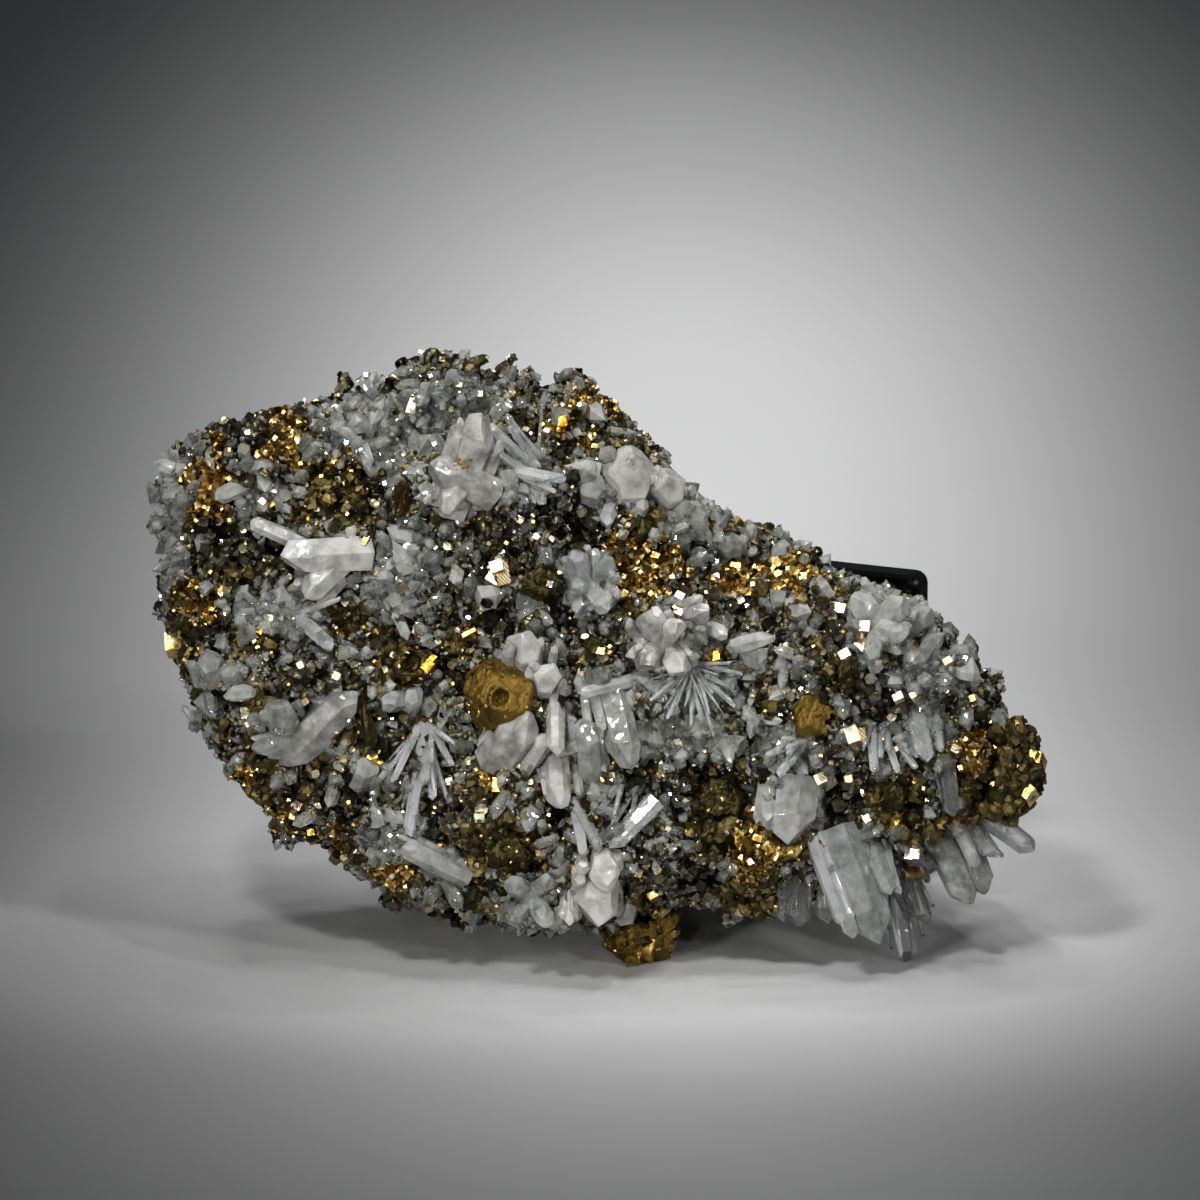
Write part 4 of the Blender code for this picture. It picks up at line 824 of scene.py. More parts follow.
# %% Where the large quartz stands
QUARTZ = {
    "quartz_spindle": [(-31.9, 20.6, -24.2, 28.3, 4.7, 2.6)],
    "quartz_t_crystal": [(1.0, 27.8, 2.9, 20.3, 3.9, 3.2), (4.6, 29.3, -2.2, 27.6, 1.9, 3.4)],
    "quartz_bright_prism": [(5.1, 16.6, 0.9, 12.2, 2.4, 4.2)],
    "quartz_white_upper": [
        (-14.6, 46.6, -11.2, 55.4, 4.6, 3.4), (-11.4, 47.8, -17.0, 50.6, 4.4, 2.8),
        (-13.2, 49.0, -16.2, 45.6, 3.6, 2.6),
    ],
    "quartz_white_left": [
        (-24.0, 41.6, -31.8, 41.2, 4.6, 2.4), (-25.4, 41.4, -29.6, 37.2, 3.4, 2.6),
        (-28.6, 42.2, -34.8, 44.9, 2.1, 3.2),
    ],
    "quartz_pair_left": [(-31.6, 25.0, -31.8, 26.2, 4.0, 4.2), (-31.0, 22.9, -34.6, 22.6, 3.2, 1.6)],
    "quartz_double_point": [(-34.0, 27.9, -37.5, 27.6, 1.8, 2.2)],
    "quartz_lobes_left": [(-38.4, 29.6, -38.9, 31.8, 3.0, 2.4), (-36.6, 29.2, -37.0, 30.6, 2.6, 2.2)],
    "quartz_facet_left": [(-29.6, 34.9, -26.4, 32.2, 2.0, 2.8), (-29.4, 35.8, -25.6, 37.2, 0.8, 2.4)],
    "quartz_sheaf_upper": [
        (-7.2, 50.6, -11.0, 54.4, 1.5, 3.4), (-6.6, 51.6, -9.4, 55.4, 1.2, 2.8),
        (-8.0, 50.0, -11.8, 52.8, 1.2, 2.6), (-8.2, 49.8, -3.4, 48.9, 1.6, 2.4),
        (-7.0, 48.4, -5.4, 46.6, 1.5, 2.2),
    ],
    "quartz_knob_upper": [
        (2.8, 48.8, 3.6, 51.0, 6.0, 3.2), (6.6, 47.6, 7.0, 49.4, 4.4, 3.4),
        (0.6, 50.8, 0.8, 51.8, 2.2, 2.6),
    ],
    "quartz_pair_upper": [(-0.8, 47.4, -0.6, 48.9, 3.2, 2.8), (1.0, 45.8, 0.4, 44.4, 1.9, 2.2)],
    "quartz_pair_shoulder": [(10.0, 43.6, 9.8, 46.2, 2.2, 2.4), (12.8, 41.9, 13.0, 43.8, 3.4, 2.2)],
    "quartz_clear_cluster": [
        (-1.4, 38.8, -2.6, 42.2, 2.8, 3.2), (-0.6, 39.0, 1.4, 40.8, 2.5, 3.0),
        (-1.2, 38.2, -3.0, 38.4, 2.4, 2.8), (-0.8, 38.0, 0.9, 35.9, 2.6, 3.4),
        (-1.6, 37.6, -2.2, 35.8, 2.2, 2.6),
    ],
    "quartz_white_group": [
        (5.8, 33.4, 4.2, 36.0, 3.2, 2.8), (6.6, 33.2, 7.8, 34.9, 2.9, 3.0),
        (5.6, 32.2, 4.0, 30.8, 3.4, 3.4), (7.0, 31.8, 8.2, 29.9, 3.2, 3.2),
        (8.8, 35.4, 10.9, 35.9, 2.6, 2.0), (10.8, 34.2, 12.6, 33.6, 1.9, 2.2),
    ],
    "quartz_bar_shoulder": [(12.4, 32.2, 17.4, 33.5, 2.3, 2.4)],
    "quartz_block_middle": [
        (-7.4, 30.6, -7.7, 33.6, 4.2, 3.4), (-5.6, 28.6, -5.0, 30.0, 3.4, 3.2),
        (-4.4, 27.3, -4.4, 21.4, 2.3, 2.8), (-4.4, 21.6, -4.2, 16.2, 3.2, 3.2),
    ],
    "quartz_plate_middle": [(-9.9, 21.6, -6.9, 26.0, 5.2, 3.6)],
    "quartz_window": [(-1.0, 20.0, -1.5, 25.3, 3.4, 3.4)],
    "quartz_clear_prisms": [
        (2.6, 19.8, -0.2, 15.8, 1.2, 3.0), (3.8, 19.0, 1.2, 14.6, 1.2, 3.6),
        (-2.3, 16.4, 0.2, 12.0, 1.8, 2.0),
    ],
    "quartz_milky_foot": [(0.2, 11.2, 0.6, 9.2, 4.0, 4.4), (-0.4, 8.4, -0.6, 4.4, 4.8, 2.2)],
    "quartz_cluster_foot": [
        (-6.8, 7.6, -9.2, 9.2, 2.4, 2.6), (-6.6, 7.8, -4.6, 9.6, 2.3, 2.8),
        (-7.2, 7.0, -9.0, 5.0, 2.4, 2.2), (-6.4, 7.0, -4.9, 4.7, 2.4, 2.4),
    ],
    "quartz_needles_left": [
        (-17.2, 23.6, -19.0, 13.4, 2.0, 3.2), (-16.8, 22.8, -16.6, 17.0, 1.3, 3.0),
        (-17.0, 24.6, -14.6, 20.4, 1.1, 2.6), (-18.2, 24.0, -20.6, 18.8, 1.1, 2.4),
    ],
    "quartz_bar_foot": [(-13.9, 9.9, -19.8, 12.7, 3.0, 2.2)],
    "quartz_stub_left": [(-23.6, 19.4, -22.8, 21.0, 3.0, 2.4)],
    "quartz_mass_left": [
        (-19.8, 27.0, -21.4, 26.8, 2.4, 2.4), (-18.8, 26.4, -18.2, 28.2, 2.4, 2.2),
        (-17.6, 26.6, -16.4, 25.8, 2.0, 2.2),
    ],
    "quartz_spray_middle": [
        (9.4, 30.0, 11.3, 23.4, 0.8, 4.2), (9.2, 29.6, 9.0, 24.4, 0.8, 3.4),
        (8.8, 29.6, 6.6, 25.2, 0.8, 3.0), (8.6, 30.0, 4.9, 27.0, 0.8, 2.6),
        (9.8, 29.8, 13.4, 26.4, 0.9, 3.0), (9.8, 30.6, 14.2, 29.6, 0.8, 2.6),
    ],
    "quartz_sheaf_right": [(20.2, 22.8, 17.6, 19.6, 1.3, 2.6), (19.4, 22.8, 16.4, 21.6, 1.0, 2.2)],
    "quartz_mass_right": [
        (27.4, 35.0, 25.2, 37.6, 3.4, 2.4), (28.4, 35.2, 30.4, 37.4, 3.4, 2.2),
        (28.0, 34.2, 30.8, 33.4, 2.8, 2.8), (27.6, 33.8, 26.6, 31.0, 2.4, 2.8),
        (31.2, 34.6, 33.0, 36.2, 3.2, 1.8),
    ],
    "quartz_needles_right": [
        (27.0, 24.8, 27.2, 19.8, 1.4, 3.0), (29.4, 23.2, 31.4, 20.2, 1.1, 2.8),
        (28.2, 24.2, 29.6, 19.8, 1.1, 2.4),
    ],
    "quartz_tapered_right": [(31.4, 25.6, 32.4, 20.8, 2.4, 2.6), (33.4, 26.0, 33.8, 21.8, 1.2, 2.4)],
    "quartz_drop_right": [(34.4, 20.4, 34.9, 15.6, 2.2, 2.6)],
    "quartz_grey_hollow": [(19.4, 18.0, 18.6, 12.4, 5.2, 2.2)],
    "quartz_large_prism": [(24.0, 13.4, 27.8, 2.8, 5.0, 1.6), (27.0, 12.6, 28.9, 7.4, 2.5, 3.0)],
    "quartz_foot_tips": [(29.6, 9.2, 30.9, 0.5, 2.5, 0.6), (30.2, 10.2, 32.6, 4.4, 2.6, 1.8)],
    "quartz_lobes_right": [(34.0, 13.0, 37.0, 6.2, 3.6, 1.4), (36.2, 12.8, 38.8, 7.6, 2.8, 1.8)],
    "quartz_end_right": [(38.6, 15.4, 43.5, 11.7, 2.8, 1.4), (36.8, 14.6, 39.6, 11.0, 2.2, 1.8)],
    "quartz_fringe_foot": [(22.4, 8.6, 22.4, 4.6, 2.4, 0.8), (19.6, 8.8, 19.5, 4.3, 2.6, 1.2)],
}
print("large quartz crystals:", sum(map(len, QUARTZ.values())), "in", len(QUARTZ), "groups")

# %% [markdown]
# ### Kinds of quartz, and one crystal
#
# A spindle is pointed at both ends and lies on the rock, while a prism is rooted in it. A crystal is cut
# to its length, its edges are bevelled a little, as real ones are worn, and it is turned to its axis.
# One bright prism has a face at the mirror angle: it halves the angle between the lamp and the viewer.

# %% One large crystal
SPINDLES = ("quartz_spindle", "quartz_double_point", "quartz_bar_shoulder")
MIRROR_FACED = {"quartz_bright_prism": -1.0}
SPINDLE_LIFT, PRISM_SINK = 0.9, 0.3
ROOT_LENGTH = 0.9
SPINDLE_TAPER, PRISM_TAPER = 0.09, 0.025
SOFT_EDGE = 0.09
KEY_PLACE = (-90, 230, 250)
EYE_HEIGHT = 60
INTO_PAGE = Vector((0, 0, -1))


def rock_depth(x, y):
    """How far towards the viewer the rock's surface lies at a place of the page."""
    found, _, _, _ = rock_tree.ray_cast(Vector((x, y, EYE_HEIGHT)), INTO_PAGE)
    if found is None:
        found, _, _, _ = rock_tree.find_nearest(Vector((x, y, 0)))
    return found.z


def crystal_line(crystal, spindle):
    """The ends of a large crystal's long axis, its root well inside the rock."""
    root_x, root_y, tip_x, tip_y, width, rise = crystal
    ground = rock_depth(root_x, root_y)
    above = SPINDLE_LIFT if spindle else -PRISM_SINK
    start = Vector((root_x, root_y, ground + above - 0.1 * width))
    end = Vector((tip_x, tip_y, ground + rise))
    if not spindle:
        start -= (end - start).normalized() * ROOT_LENGTH
    return start, end


def half_way(place):
    """The direction in which a face must look to reflect the main lamp to the viewer."""
    to_lamp = (Vector(KEY_PLACE) - Vector(place)).normalized()
    return (to_lamp + Vector((0, 0, 1))).normalized()


def large_crystal(crystal, dice, node):
    """A form as long as the crystal, with its turn, place and tone."""
    spindle = node in SPINDLES
    start, end = crystal_line(crystal, spindle)
    if node in MIRROR_FACED:
        start.z = end.z + MIRROR_FACED[node]
    length = (end - start).length
    radius = crystal[4] / 2
    bm = cut_quartz(length, dice, radius, SPINDLE_TAPER if spindle else PRISM_TAPER, spindle)
    bmesh.ops.bevel(
        bm, geom=bm.edges[:], offset=SOFT_EDGE * radius, segments=2, profile=0.5, affect="EDGES",
        material=-1, clamp_overlap=True,
    )
    axis = (end - start).normalized()
    turn = turned_to(np.array([axis]), rng)
    if node in MIRROR_FACED:
        facing = half_way((start + end) / 2)
        side = (facing - axis * facing.dot(axis)).normalized()
        turn = np.array([np.stack((side, axis.cross(side), axis), axis=-1)])
    return Form(bm), turn, np.array([start]), np.array([dice.uniform(0.2, 0.6)])


# %% [markdown]
# ### Companions and fans
#
# A crystal of this size never stands alone. Wide ones get smaller companions beside them, nearly parallel,
# and the sprays and sheafs get thinner needles that fan out from about the same root.

# %% Grow the large quartz
MILKY = (
    "quartz_white_upper", "quartz_white_left", "quartz_white_group", "quartz_spindle",
    "quartz_plate_middle", "quartz_milky_foot", "quartz_knob_upper", "quartz_block_middle",
)
# These groups take the needle quartz whose whiter colour is partly painted light.
PAINTED_LIGHT_QUARTZ = (
    "quartz_bright_prism", "quartz_clear_prisms", "quartz_spray_middle", "quartz_needles_left",
    "quartz_needles_right", "quartz_sheaf_right", "quartz_sheaf_upper", "quartz_facet_left",
    "quartz_clear_cluster", "quartz_tapered_right", "quartz_large_prism", "quartz_end_right",
)
GLASSY = ("quartz_foot_tips", "quartz_drop_right", "quartz_fringe_foot")
WIDE_FROM = 2.4
BESIDE = 4
MORE_BESIDE = {"quartz_clear_cluster": 9, "quartz_mass_right": 8}
FAN_SPREAD = 0.3
FANS = {
    "quartz_spray_middle": 4, "quartz_sheaf_upper": 2, "quartz_sheaf_right": 4,
    "quartz_needles_left": 2, "quartz_needles_right": 2, "quartz_clear_prisms": 1,
}


def companion(crystal, dice):
    """A smaller crystal beside a large one, nearly parallel to it."""
    root_x, root_y, tip_x, tip_y, width, rise = crystal
    along = Vector((tip_x - root_x, tip_y - root_y))
    across = Vector((-along.y, along.x)).normalized() * width
    side = across * dice.choice((-1, 1)) * dice.uniform(0.3, 0.62)
    back = along * dice.uniform(-0.1, 0.25)
    reach = along * dice.uniform(0.45, 0.85)
    turn = Vector((dice.uniform(-0.6, 0.6), dice.uniform(-0.6, 0.6)))
    root = Vector((root_x, root_y)) + side + back
    tip = root + reach + turn
    return (*root, *tip, width * dice.uniform(0.28, 0.5), rise * dice.uniform(0.5, 0.8))


def fan_needle(crystal, dice):
    """A thinner needle from about the same root as this one, turned aside."""
    root_x, root_y, tip_x, tip_y, width, rise = crystal
    along = Matrix.Rotation(dice.gauss(0, FAN_SPREAD), 2) @ Vector((tip_x - root_x, tip_y - root_y))
    along *= dice.uniform(0.5, 0.95)
    root = Vector((root_x + dice.uniform(-0.5, 0.5), root_y + dice.uniform(-0.5, 0.5)))
    return (*root, *(root + along), width * dice.uniform(0.45, 0.85), rise * dice.uniform(0.6, 1.25))


lines = []
for node, crystals in QUARTZ.items():
    spindle = node in SPINDLES
    batches = [large_crystal(crystal, dice, node) for crystal in crystals]
    lines += [(*crystal_line(crystal, spindle), crystal[4] / 2) for crystal in crystals]
    wide = [crystal for crystal in crystals if crystal[4] > WIDE_FROM and not spindle]
    extra = [companion(crystal, dice) for crystal in wide for _ in range(MORE_BESIDE.get(node, BESIDE))]
    extra += [fan_needle(crystal, dice) for crystal in crystals for _ in range(FANS.get(node, 0))]
    batches += [large_crystal(crystal, dice, "") for crystal in extra]
    finish = cloudy_quartz
    for names, special in ((MILKY, milky_quartz), (PAINTED_LIGHT_QUARTZ, needle_quartz_painted_light), (GLASSY, clear_quartz)):
        finish = special if node in names else finish
    name = node + "_crystals"
    place_piece(joined(name, batches), name, "quartz", [finish], node)

# %% [markdown]
# ## The larger sulphide masses
#
# These come from the frame's solids, remeshed fine. Chalcopyrite breaks and grows in uneven steps, so each
# point moves a little in or out by noise that is rounded to levels, which leaves low terraces.

# %% Larger sulphide masses
SULPHIDE_VOXEL = 0.3
TERRACE = 0.13
LEVELS = 2.5
ROUGHNESS = 0.05
SUNK_BY = 0.08
BRIGHT = ("chalcopyrite_golden_pitted", "chalcopyrite_brassy_holed", "chalcopyrite_foot_tip")


def terraced(node):
    """A copy of a node with a stepped, uneven surface."""
    mesh = remeshed(merged_copy(node), node + "_mass", SULPHIDE_VOXEL)
    points = mesh_points(mesh)
    height = cloud_at(points, 1.6, 5.0) + 0.5 * cloud_at(points, 0.7, 15.0)
    height = np.round(height * LEVELS) / LEVELS * TERRACE
    height = height + ROUGHNESS * cloud_at(points, 0.35, 25.0) - SUNK_BY
    points += mesh_normals(mesh) * height[:, None]
    mesh.vertices.foreach_set("co", points.ravel())
    mesh.update()
    set_number(mesh, "tone", np.full(len(points), dice.uniform(0.1, 0.3)))
    return mesh


for node in sorted(nodes):
    kind = node.split("_")[0]
    if kind == "chalcopyrite":
        finish = satin_chalcopyrite if node in BRIGHT else olive_chalcopyrite
        finish = grooved_chalcopyrite if node == "chalcopyrite_striated_block" else finish
        place_piece(terraced(node), node + "_mass", "chalcopyrite", [finish], node)
    if kind in ("chalcopyrite", "pyrite"):
        low, high = (WORLD_TO_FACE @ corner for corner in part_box(node))
        middle = (low + high) / 2
        size = [abs(high.x - low.x), abs(high.y - low.y)]
        lines.append((middle, middle, min(size) / 2))
        if kind == "pyrite":
            nodes[node].data.materials.clear()
            nodes[node].data.materials.append(pale_pyrite)

# %% What the large crystals cover
COVERED_SHARE = 0.62
COVERED_FROM = -2


def covered(points):
    """Whether a large crystal stands right over each point."""
    hidden = np.zeros(len(points), dtype=bool)
    for start, end, radius in lines:
        base = np.array(start)[:2]
        along = np.array(end)[:2] - base
        share = ((points[:, :2] - base) @ along) / max(float(along @ along), 1e-9)
        nearest = base + np.clip(share, 0, 1)[:, None] * along
        hidden |= np.linalg.norm(points[:, :2] - nearest, axis=1) < COVERED_SHARE * radius
    return hidden & (points[:, 2] > COVERED_FROM)


print("large crystals that cover the rock:", len(lines))

# %% [markdown]
# ## The druse
#
# The small crystals come in layers, from coarse to fine: quartz points, olive lumps, dark cubes, golden
# grains, bright pyrite, and a sugar of tiny quartz between them.

# %% Layers of crystals
STEEP = 0.35
STEEP_SHARE = 0.62
MOSTLY_THIN = 1.8


def sown_batches(forms, points, axes, widths, lengths, tones, rng, by_length=False):
    """Spreads the points over the forms, each copy with its own width and length."""
    ratio = lengths / widths
    if by_length:
        best = np.abs(ratio[:, None] - np.array([form.height / 2 for form in forms])[None, :])
        picks = (best + rng.uniform(0, 0.12, best.shape)).argmin(1)
    else:
        picks = rng.integers(len(forms), size=len(points))
    batches = []
    for index, form in enumerate(forms):
        mine = picks == index
        if not mine.any():
            continue
        turns = turned_to(axes[mine], rng)
        tall = lengths[mine] / form.height if by_length else lengths[mine] / 2
        wide = widths[mine] / 2
        scales = np.stack((wide, wide * rng.uniform(0.75, 1, mine.sum()), tall), axis=-1)
        batches.append((form, turns * scales[:, None, :], points[mine], tones[mine]))
    return batches


def sow_quartz(name, tries, spacing, minerals, width, length, finish, lean=0.5, behind=0.25, sunk=0.22):
    """A layer of quartz points, each rooted a little under the surface."""
    points, normals = sow(tries, spacing, minerals, rng, behind)
    axes = grow(points, normals, lean, rng)
    widths = width[0] + (width[1] - width[0]) * rng.uniform(0, 1, len(points)) ** MOSTLY_THIN
    lengths = widths * rng.uniform(*length, len(points))
    lengths = np.where(normals[:, 2] < STEEP, STEEP_SHARE * lengths, lengths)
    keep = fits(points + axes * lengths[:, None])
    points, axes, widths, lengths = points[keep], axes[keep], widths[keep], lengths[keep]
    roots = points - axes * (sunk * lengths)[:, None]
    tones = rng.uniform(0.0, 0.6, len(roots))
    batches = sown_batches(druse_forms, roots, axes, widths, lengths, tones, rng, True)
    print(name, "holds", len(roots), "crystals")
    return place_piece(joined(name, batches), name, "quartz", [finish])


def sow_ore(name, tries, spacing, minerals, size, forms, slot, finish, behind=0.4, sunk=0.25):
    """A layer of blocky ore crystals, partly sunk in the surface."""
    points, normals = sow(tries, spacing, minerals, rng, behind)
    axes = grow(points, normals, 0.8, rng)
    widths = rng.uniform(*size, len(points))
    points = points + normals * (widths * (0.5 - sunk) * 0.5)[:, None]
    keep = fits(points + normals * widths[:, None] * 0.5)
    points, axes, widths = points[keep], axes[keep], widths[keep]
    tones = rng.uniform(0.0, 0.7, len(points))
    tall = widths * rng.uniform(0.7, 1.15, len(points))
    batches = sown_batches(forms, points, axes, widths, tall, tones, rng)
    print(name, "holds", len(points), "crystals")
    return place_piece(joined(name, batches), name, slot, [finish])


# %% Sow the druse
sow_quartz("quartz_masses", 9000, 2.2, [GREY, PALE], (1.8, 3.4), (0.9, 1.3), cloudy_quartz, 0.6, 0.4, 0.6)
sow_quartz("druse_points_grey", 16000, 1.2, [GREY], (0.6, 1.9), (1.0, 2.0), druse_quartz, 0.7)
sow_quartz("druse_points_pale", 16000, 1.15, [PALE], (0.7, 2.2), (1.0, 2.0), cloudy_quartz, 0.7)
sow_quartz("druse_points_clear", 12000, 1.6, [GREY, PALE, DARK], (0.35, 0.9), (1.8, 3.0), clear_quartz, 0.8)
sow_quartz("druse_sugar", 60000, 0.56, [GREY, PALE], (0.25, 0.7), (0.8, 1.5), druse_quartz, 0.9, 0.5)
sow_ore(
    "olive_lumps", 12000, 1.3, [OLIVE], (0.8, 1.9), lump_forms, "chalcopyrite", olive_chalcopyrite, 0.4, 0.6
)
sow_ore("dark_cubes", 26000, 0.8, [DARK], (0.4, 1.2), cube_forms, "matrix", dark_galena)
sow_ore("golden_grains", 60000, 0.42, [GOLD], (0.3, 0.75), grain_forms, "chalcopyrite", gold_chalcopyrite)
sow_ore(
    "golden_specks", 20000, 0.9, [OLIVE, DARK], (0.2, 0.5), grain_forms, "chalcopyrite", gold_chalcopyrite
)
sow_ore("dark_specks", 20000, 0.8, [OLIVE, GOLD, GREY], (0.3, 0.7), cube_forms, "matrix", dark_galena)
every_mineral = [GREY, PALE, DARK, OLIVE, GOLD]
sow_ore("pyrite_cubes", 9000, 3.4, every_mineral, (0.4, 0.9), cube_forms, "pyrite", pale_pyrite, 0.2)

# %% [markdown]
# ## Crusts and rust
#
# The larger sulphide masses aren't bare. Grains of the same mineral crust them, thickly on the rounded mass
# at the right end and thinly round the pitted crystal. The white quartz at the top carries a few specks of
# rust, left where an iron mineral weathered away.

# %% Grains on the masses
CRUST_KINDS = {"gold": (grain_forms, gold_chalcopyrite), "olive": (lump_forms, olive_chalcopyrite)}
CRUSTS = [
    ("chalcopyrite_right_end", "olive", 5000, 1.0, (0.7, 1.7)),
    ("chalcopyrite_right_end", "gold", 2500, 1.1, (0.25, 0.6)),
    ("chalcopyrite_foot_tip", "olive", 900, 1.3, (0.6, 1.2)),
    ("chalcopyrite_foot_tip", "gold", 900, 1.2, (0.25, 0.6)),
    ("chalcopyrite_golden_pitted", "gold", 500, 1.0, (0.2, 0.45)),
    ("chalcopyrite_olive_mass", "gold", 900, 0.9, (0.2, 0.5)),
    ("chalcopyrite_dark_mass", "gold", 900, 0.9, (0.2, 0.5)),
    ("chalcopyrite_bronze_hollow", "gold", 500, 0.9, (0.2, 0.5)),
    ("chalcopyrite_olive_pitted", "olive", 500, 1.0, (0.3, 0.8)),
]


def crust(node, kind, count, spacing, size):
    """Grains of chalcopyrite spread over one of the larger masses."""
    points, normals = points_on(bpy.data.objects[node + "_mass"], count, spacing, rng)
    keep = fits(points + normals * size[1] / 2)
    points, normals = points[keep], normals[keep]
    widths = rng.uniform(*size, len(points))
    axes = grow(points, normals, 0.6, rng)
    tones = rng.uniform(0, 0.75, len(points))
    forms, finish = CRUST_KINDS[kind]
    batches = sown_batches(forms, points, axes, widths, 0.7 * widths, tones, rng)
    name = f"{node}_{kind}_crust"
    return place_piece(joined(name, batches), name, "chalcopyrite", [finish])


for row in CRUSTS:
    crust(*row)

# %% Specks of rust
RUST_SPOT = (-13.7, 50.3, 1.3, 0.9)
RUST_SPECKS = 22
RUST_STOPS = [(0.3, "#52340F"), (0.7, "#9C7434")]


def surface_at(piece, x, y):
    """Where a line of sight at this place of the page meets a finished piece, or None."""
    start = FACE_TO_WORLD @ Vector((x, y, EYE_HEIGHT))
    met, place, _, _ = piece.ray_cast(start, FACE_TURN.to_3x3() @ INTO_PAGE)
    return WORLD_TO_FACE @ place if met else None


# Rust is a dull brown powder without any shine.
rust, rust_tree, rust_shader = start_material("rust", {"Roughness": 0.7})
rust_colour = ramp(rust_tree, speckle(rust_tree, 0.4), RUST_STOPS)
rust_tree.links.new(rust_colour, rust_shader.inputs["Base Color"])

white_crystal = bpy.data.objects["quartz_white_upper_crystals"]
rust_places = []
for _ in range(RUST_SPECKS):
    x = dice.gauss(RUST_SPOT[0], 0.5 * RUST_SPOT[2])
    y = dice.gauss(RUST_SPOT[1], 0.5 * RUST_SPOT[3])
    place = surface_at(white_crystal, x, y)
    if place:
        rust_places.append(place)
rust_points = np.array(rust_places)
rust_axes = unit(rng.normal(size=rust_points.shape))
rust_sizes = rng.uniform(0.15, 0.4, len(rust_points))
rust_tones = np.full(len(rust_points), 0.3)
rust_batches = sown_batches(grain_forms, rust_points, rust_axes, rust_sizes, rust_sizes, rust_tones, rng)
place_piece(joined("rust_specks", rust_batches), "rust_specks", "matrix", [rust])

# %% [markdown]
# ## Bright faces
#
# A few faces catch the main lamp and look white or gold from the viewer's side. On the stone they are
# pyrite blocks, quartz points and chips of fresh chalcopyrite that happen to lie at the mirror angle. The
# larger ones are placed one by one: the middle on the page, the width and the height. Small chips are sown
# between them by the hundred. The top face of each halves the angle between the lamp and the viewer, give
# or take a little. A blue film sits on a few, and a few are painted orange: a painted glow for light
# bounced between golden faces.

# %% Where the bright faces are
PYRITE_MIRRORS = [
    (-33.5, 46.8, 0.6, 0.7), (-18.7, 56.3, 0.8, 1.6), (-12.0, 57.5, 0.6, 0.7), (-14.0, 58.4, 0.6, 0.5),
    (-10.3, 40.4, 1.3, 1.2), (-10.6, 39.2, 1.0, 1.4), (-35.2, 25.8, 1.2, 0.9), (-34.8, 24.7, 0.7, 0.5),
    (7.9, 37.5, 0.9, 0.7), (7.8, 35.9, 0.7, 0.9), (23.5, 36.3, 1.0, 1.7), (24.2, 31.7, 1.1, 0.9),
    (25.0, 23.7, 1.7, 1.3), (21.9, 19.3, 1.1, 1.1), (24.7, 19.2, 0.8, 0.8), (29.5, 27.5, 0.8, 1.0),
    (26.5, 15.3, 0.8, 0.7), (16.8, 19.5, 0.7, 0.6), (-1.5, 33.4, 0.7, 0.6), (-15.0, 19.0, 0.7, 0.7),
    (34.5, 31.0, 0.9, 0.7), (26.2, 34.5, 1.2, 1.0), (26.0, 32.7, 1.2, 1.2), (31.0, 27.6, 0.6, 0.6),
]
QUARTZ_MIRRORS = [
    (-27.5, 33.5, 1.1, 1.0), (2.9, 50.8, 0.6, 0.5), (-4.7, 7.7, 1.0, 0.7), (-36.5, 52.5, 0.9, 0.4),
    (36.0, 28.2, 1.6, 0.4), (18.0, 21.8, 1.9, 0.3), (-11.4, 55.0, 0.4, 0.9),
]
GOLD_MIRRORS = [
    (-42.5, 33.0, 1.9, 1.8), (3.2, 1.3, 1.4, 1.8), (4.6, 2.4, 1.4, 1.9), (2.2, 2.9, 0.8, 0.8),
    (42.5, 18.0, 1.5, 0.8), (43.0, 21.5, 1.2, 1.7), (29.5, 15.2, 1.0, 0.8), (-23.3, 43.0, 1.1, 0.5),
    (-32.5, 46.6, 0.9, 0.5), (-13.0, 33.8, 0.4, 1.5), (5.2, 7.7, 0.9, 0.7), (0.0, 32.0, 0.7, 0.9),
    (-10.3, 18.7, 0.8, 1.5), (13.5, 40.5, 1.0, 0.5), (17.5, 40.8, 0.8, 1.0), (20.2, 39.4, 0.7, 0.8),
    (5.5, 41.5, 0.8, 0.6), (-30.0, 53.0, 0.6, 0.9), (-30.6, 15.6, 0.9, 0.6), (-28.8, 13.9, 0.7, 0.7),
    (-22.7, 21.4, 0.6, 1.2), (36.8, 27.2, 1.0, 0.7), (31.2, 10.0, 1.6, 0.7), (15.6, 13.4, 0.9, 0.7),
    (17.3, 11.6, 0.7, 0.9),
]
BLUES = [
    (31.0, 11.8, 1.5, 1.1), (-30.2, 16.6, 1.0, 0.8), (-8.0, 45.0, 0.8, 0.7), (-6.3, 43.3, 0.7, 0.6),
    (14.0, 37.0, 0.7, 0.7), (11.6, 39.4, 0.6, 0.5), (-5.0, 38.6, 0.6, 0.6), (14.9, 11.0, 0.7, 0.6),
]
# Chips painted orange, a painted glow for light bounced between golden faces: the middle, width and height.
PAINTED_GLOW_FACES = [(-17.1, 30.5, 0.9, 1.2), (-16.6, 31.3, 0.6, 0.6), (11.5, 31.5, 1.0, 0.7), (-3.7, 54.8, 1.1, 0.9)]
MIRRORS = {
    "pyrite_mirrors": (PYRITE_MIRRORS, "pyrite", pale_pyrite),
    "quartz_mirrors": (QUARTZ_MIRRORS, "quartz", clear_quartz),
    "gold_mirrors": (GOLD_MIRRORS, "chalcopyrite", gold_chalcopyrite),
    "blue_mirrors": (BLUES, "chalcopyrite", blue_tarnish),
    "painted_glow_mirrors": (PAINTED_GLOW_FACES, "chalcopyrite", painted_bounce_glow),
}
print("bright faces placed by hand:", sum(len(places) for places, _, _ in MIRRORS.values()))

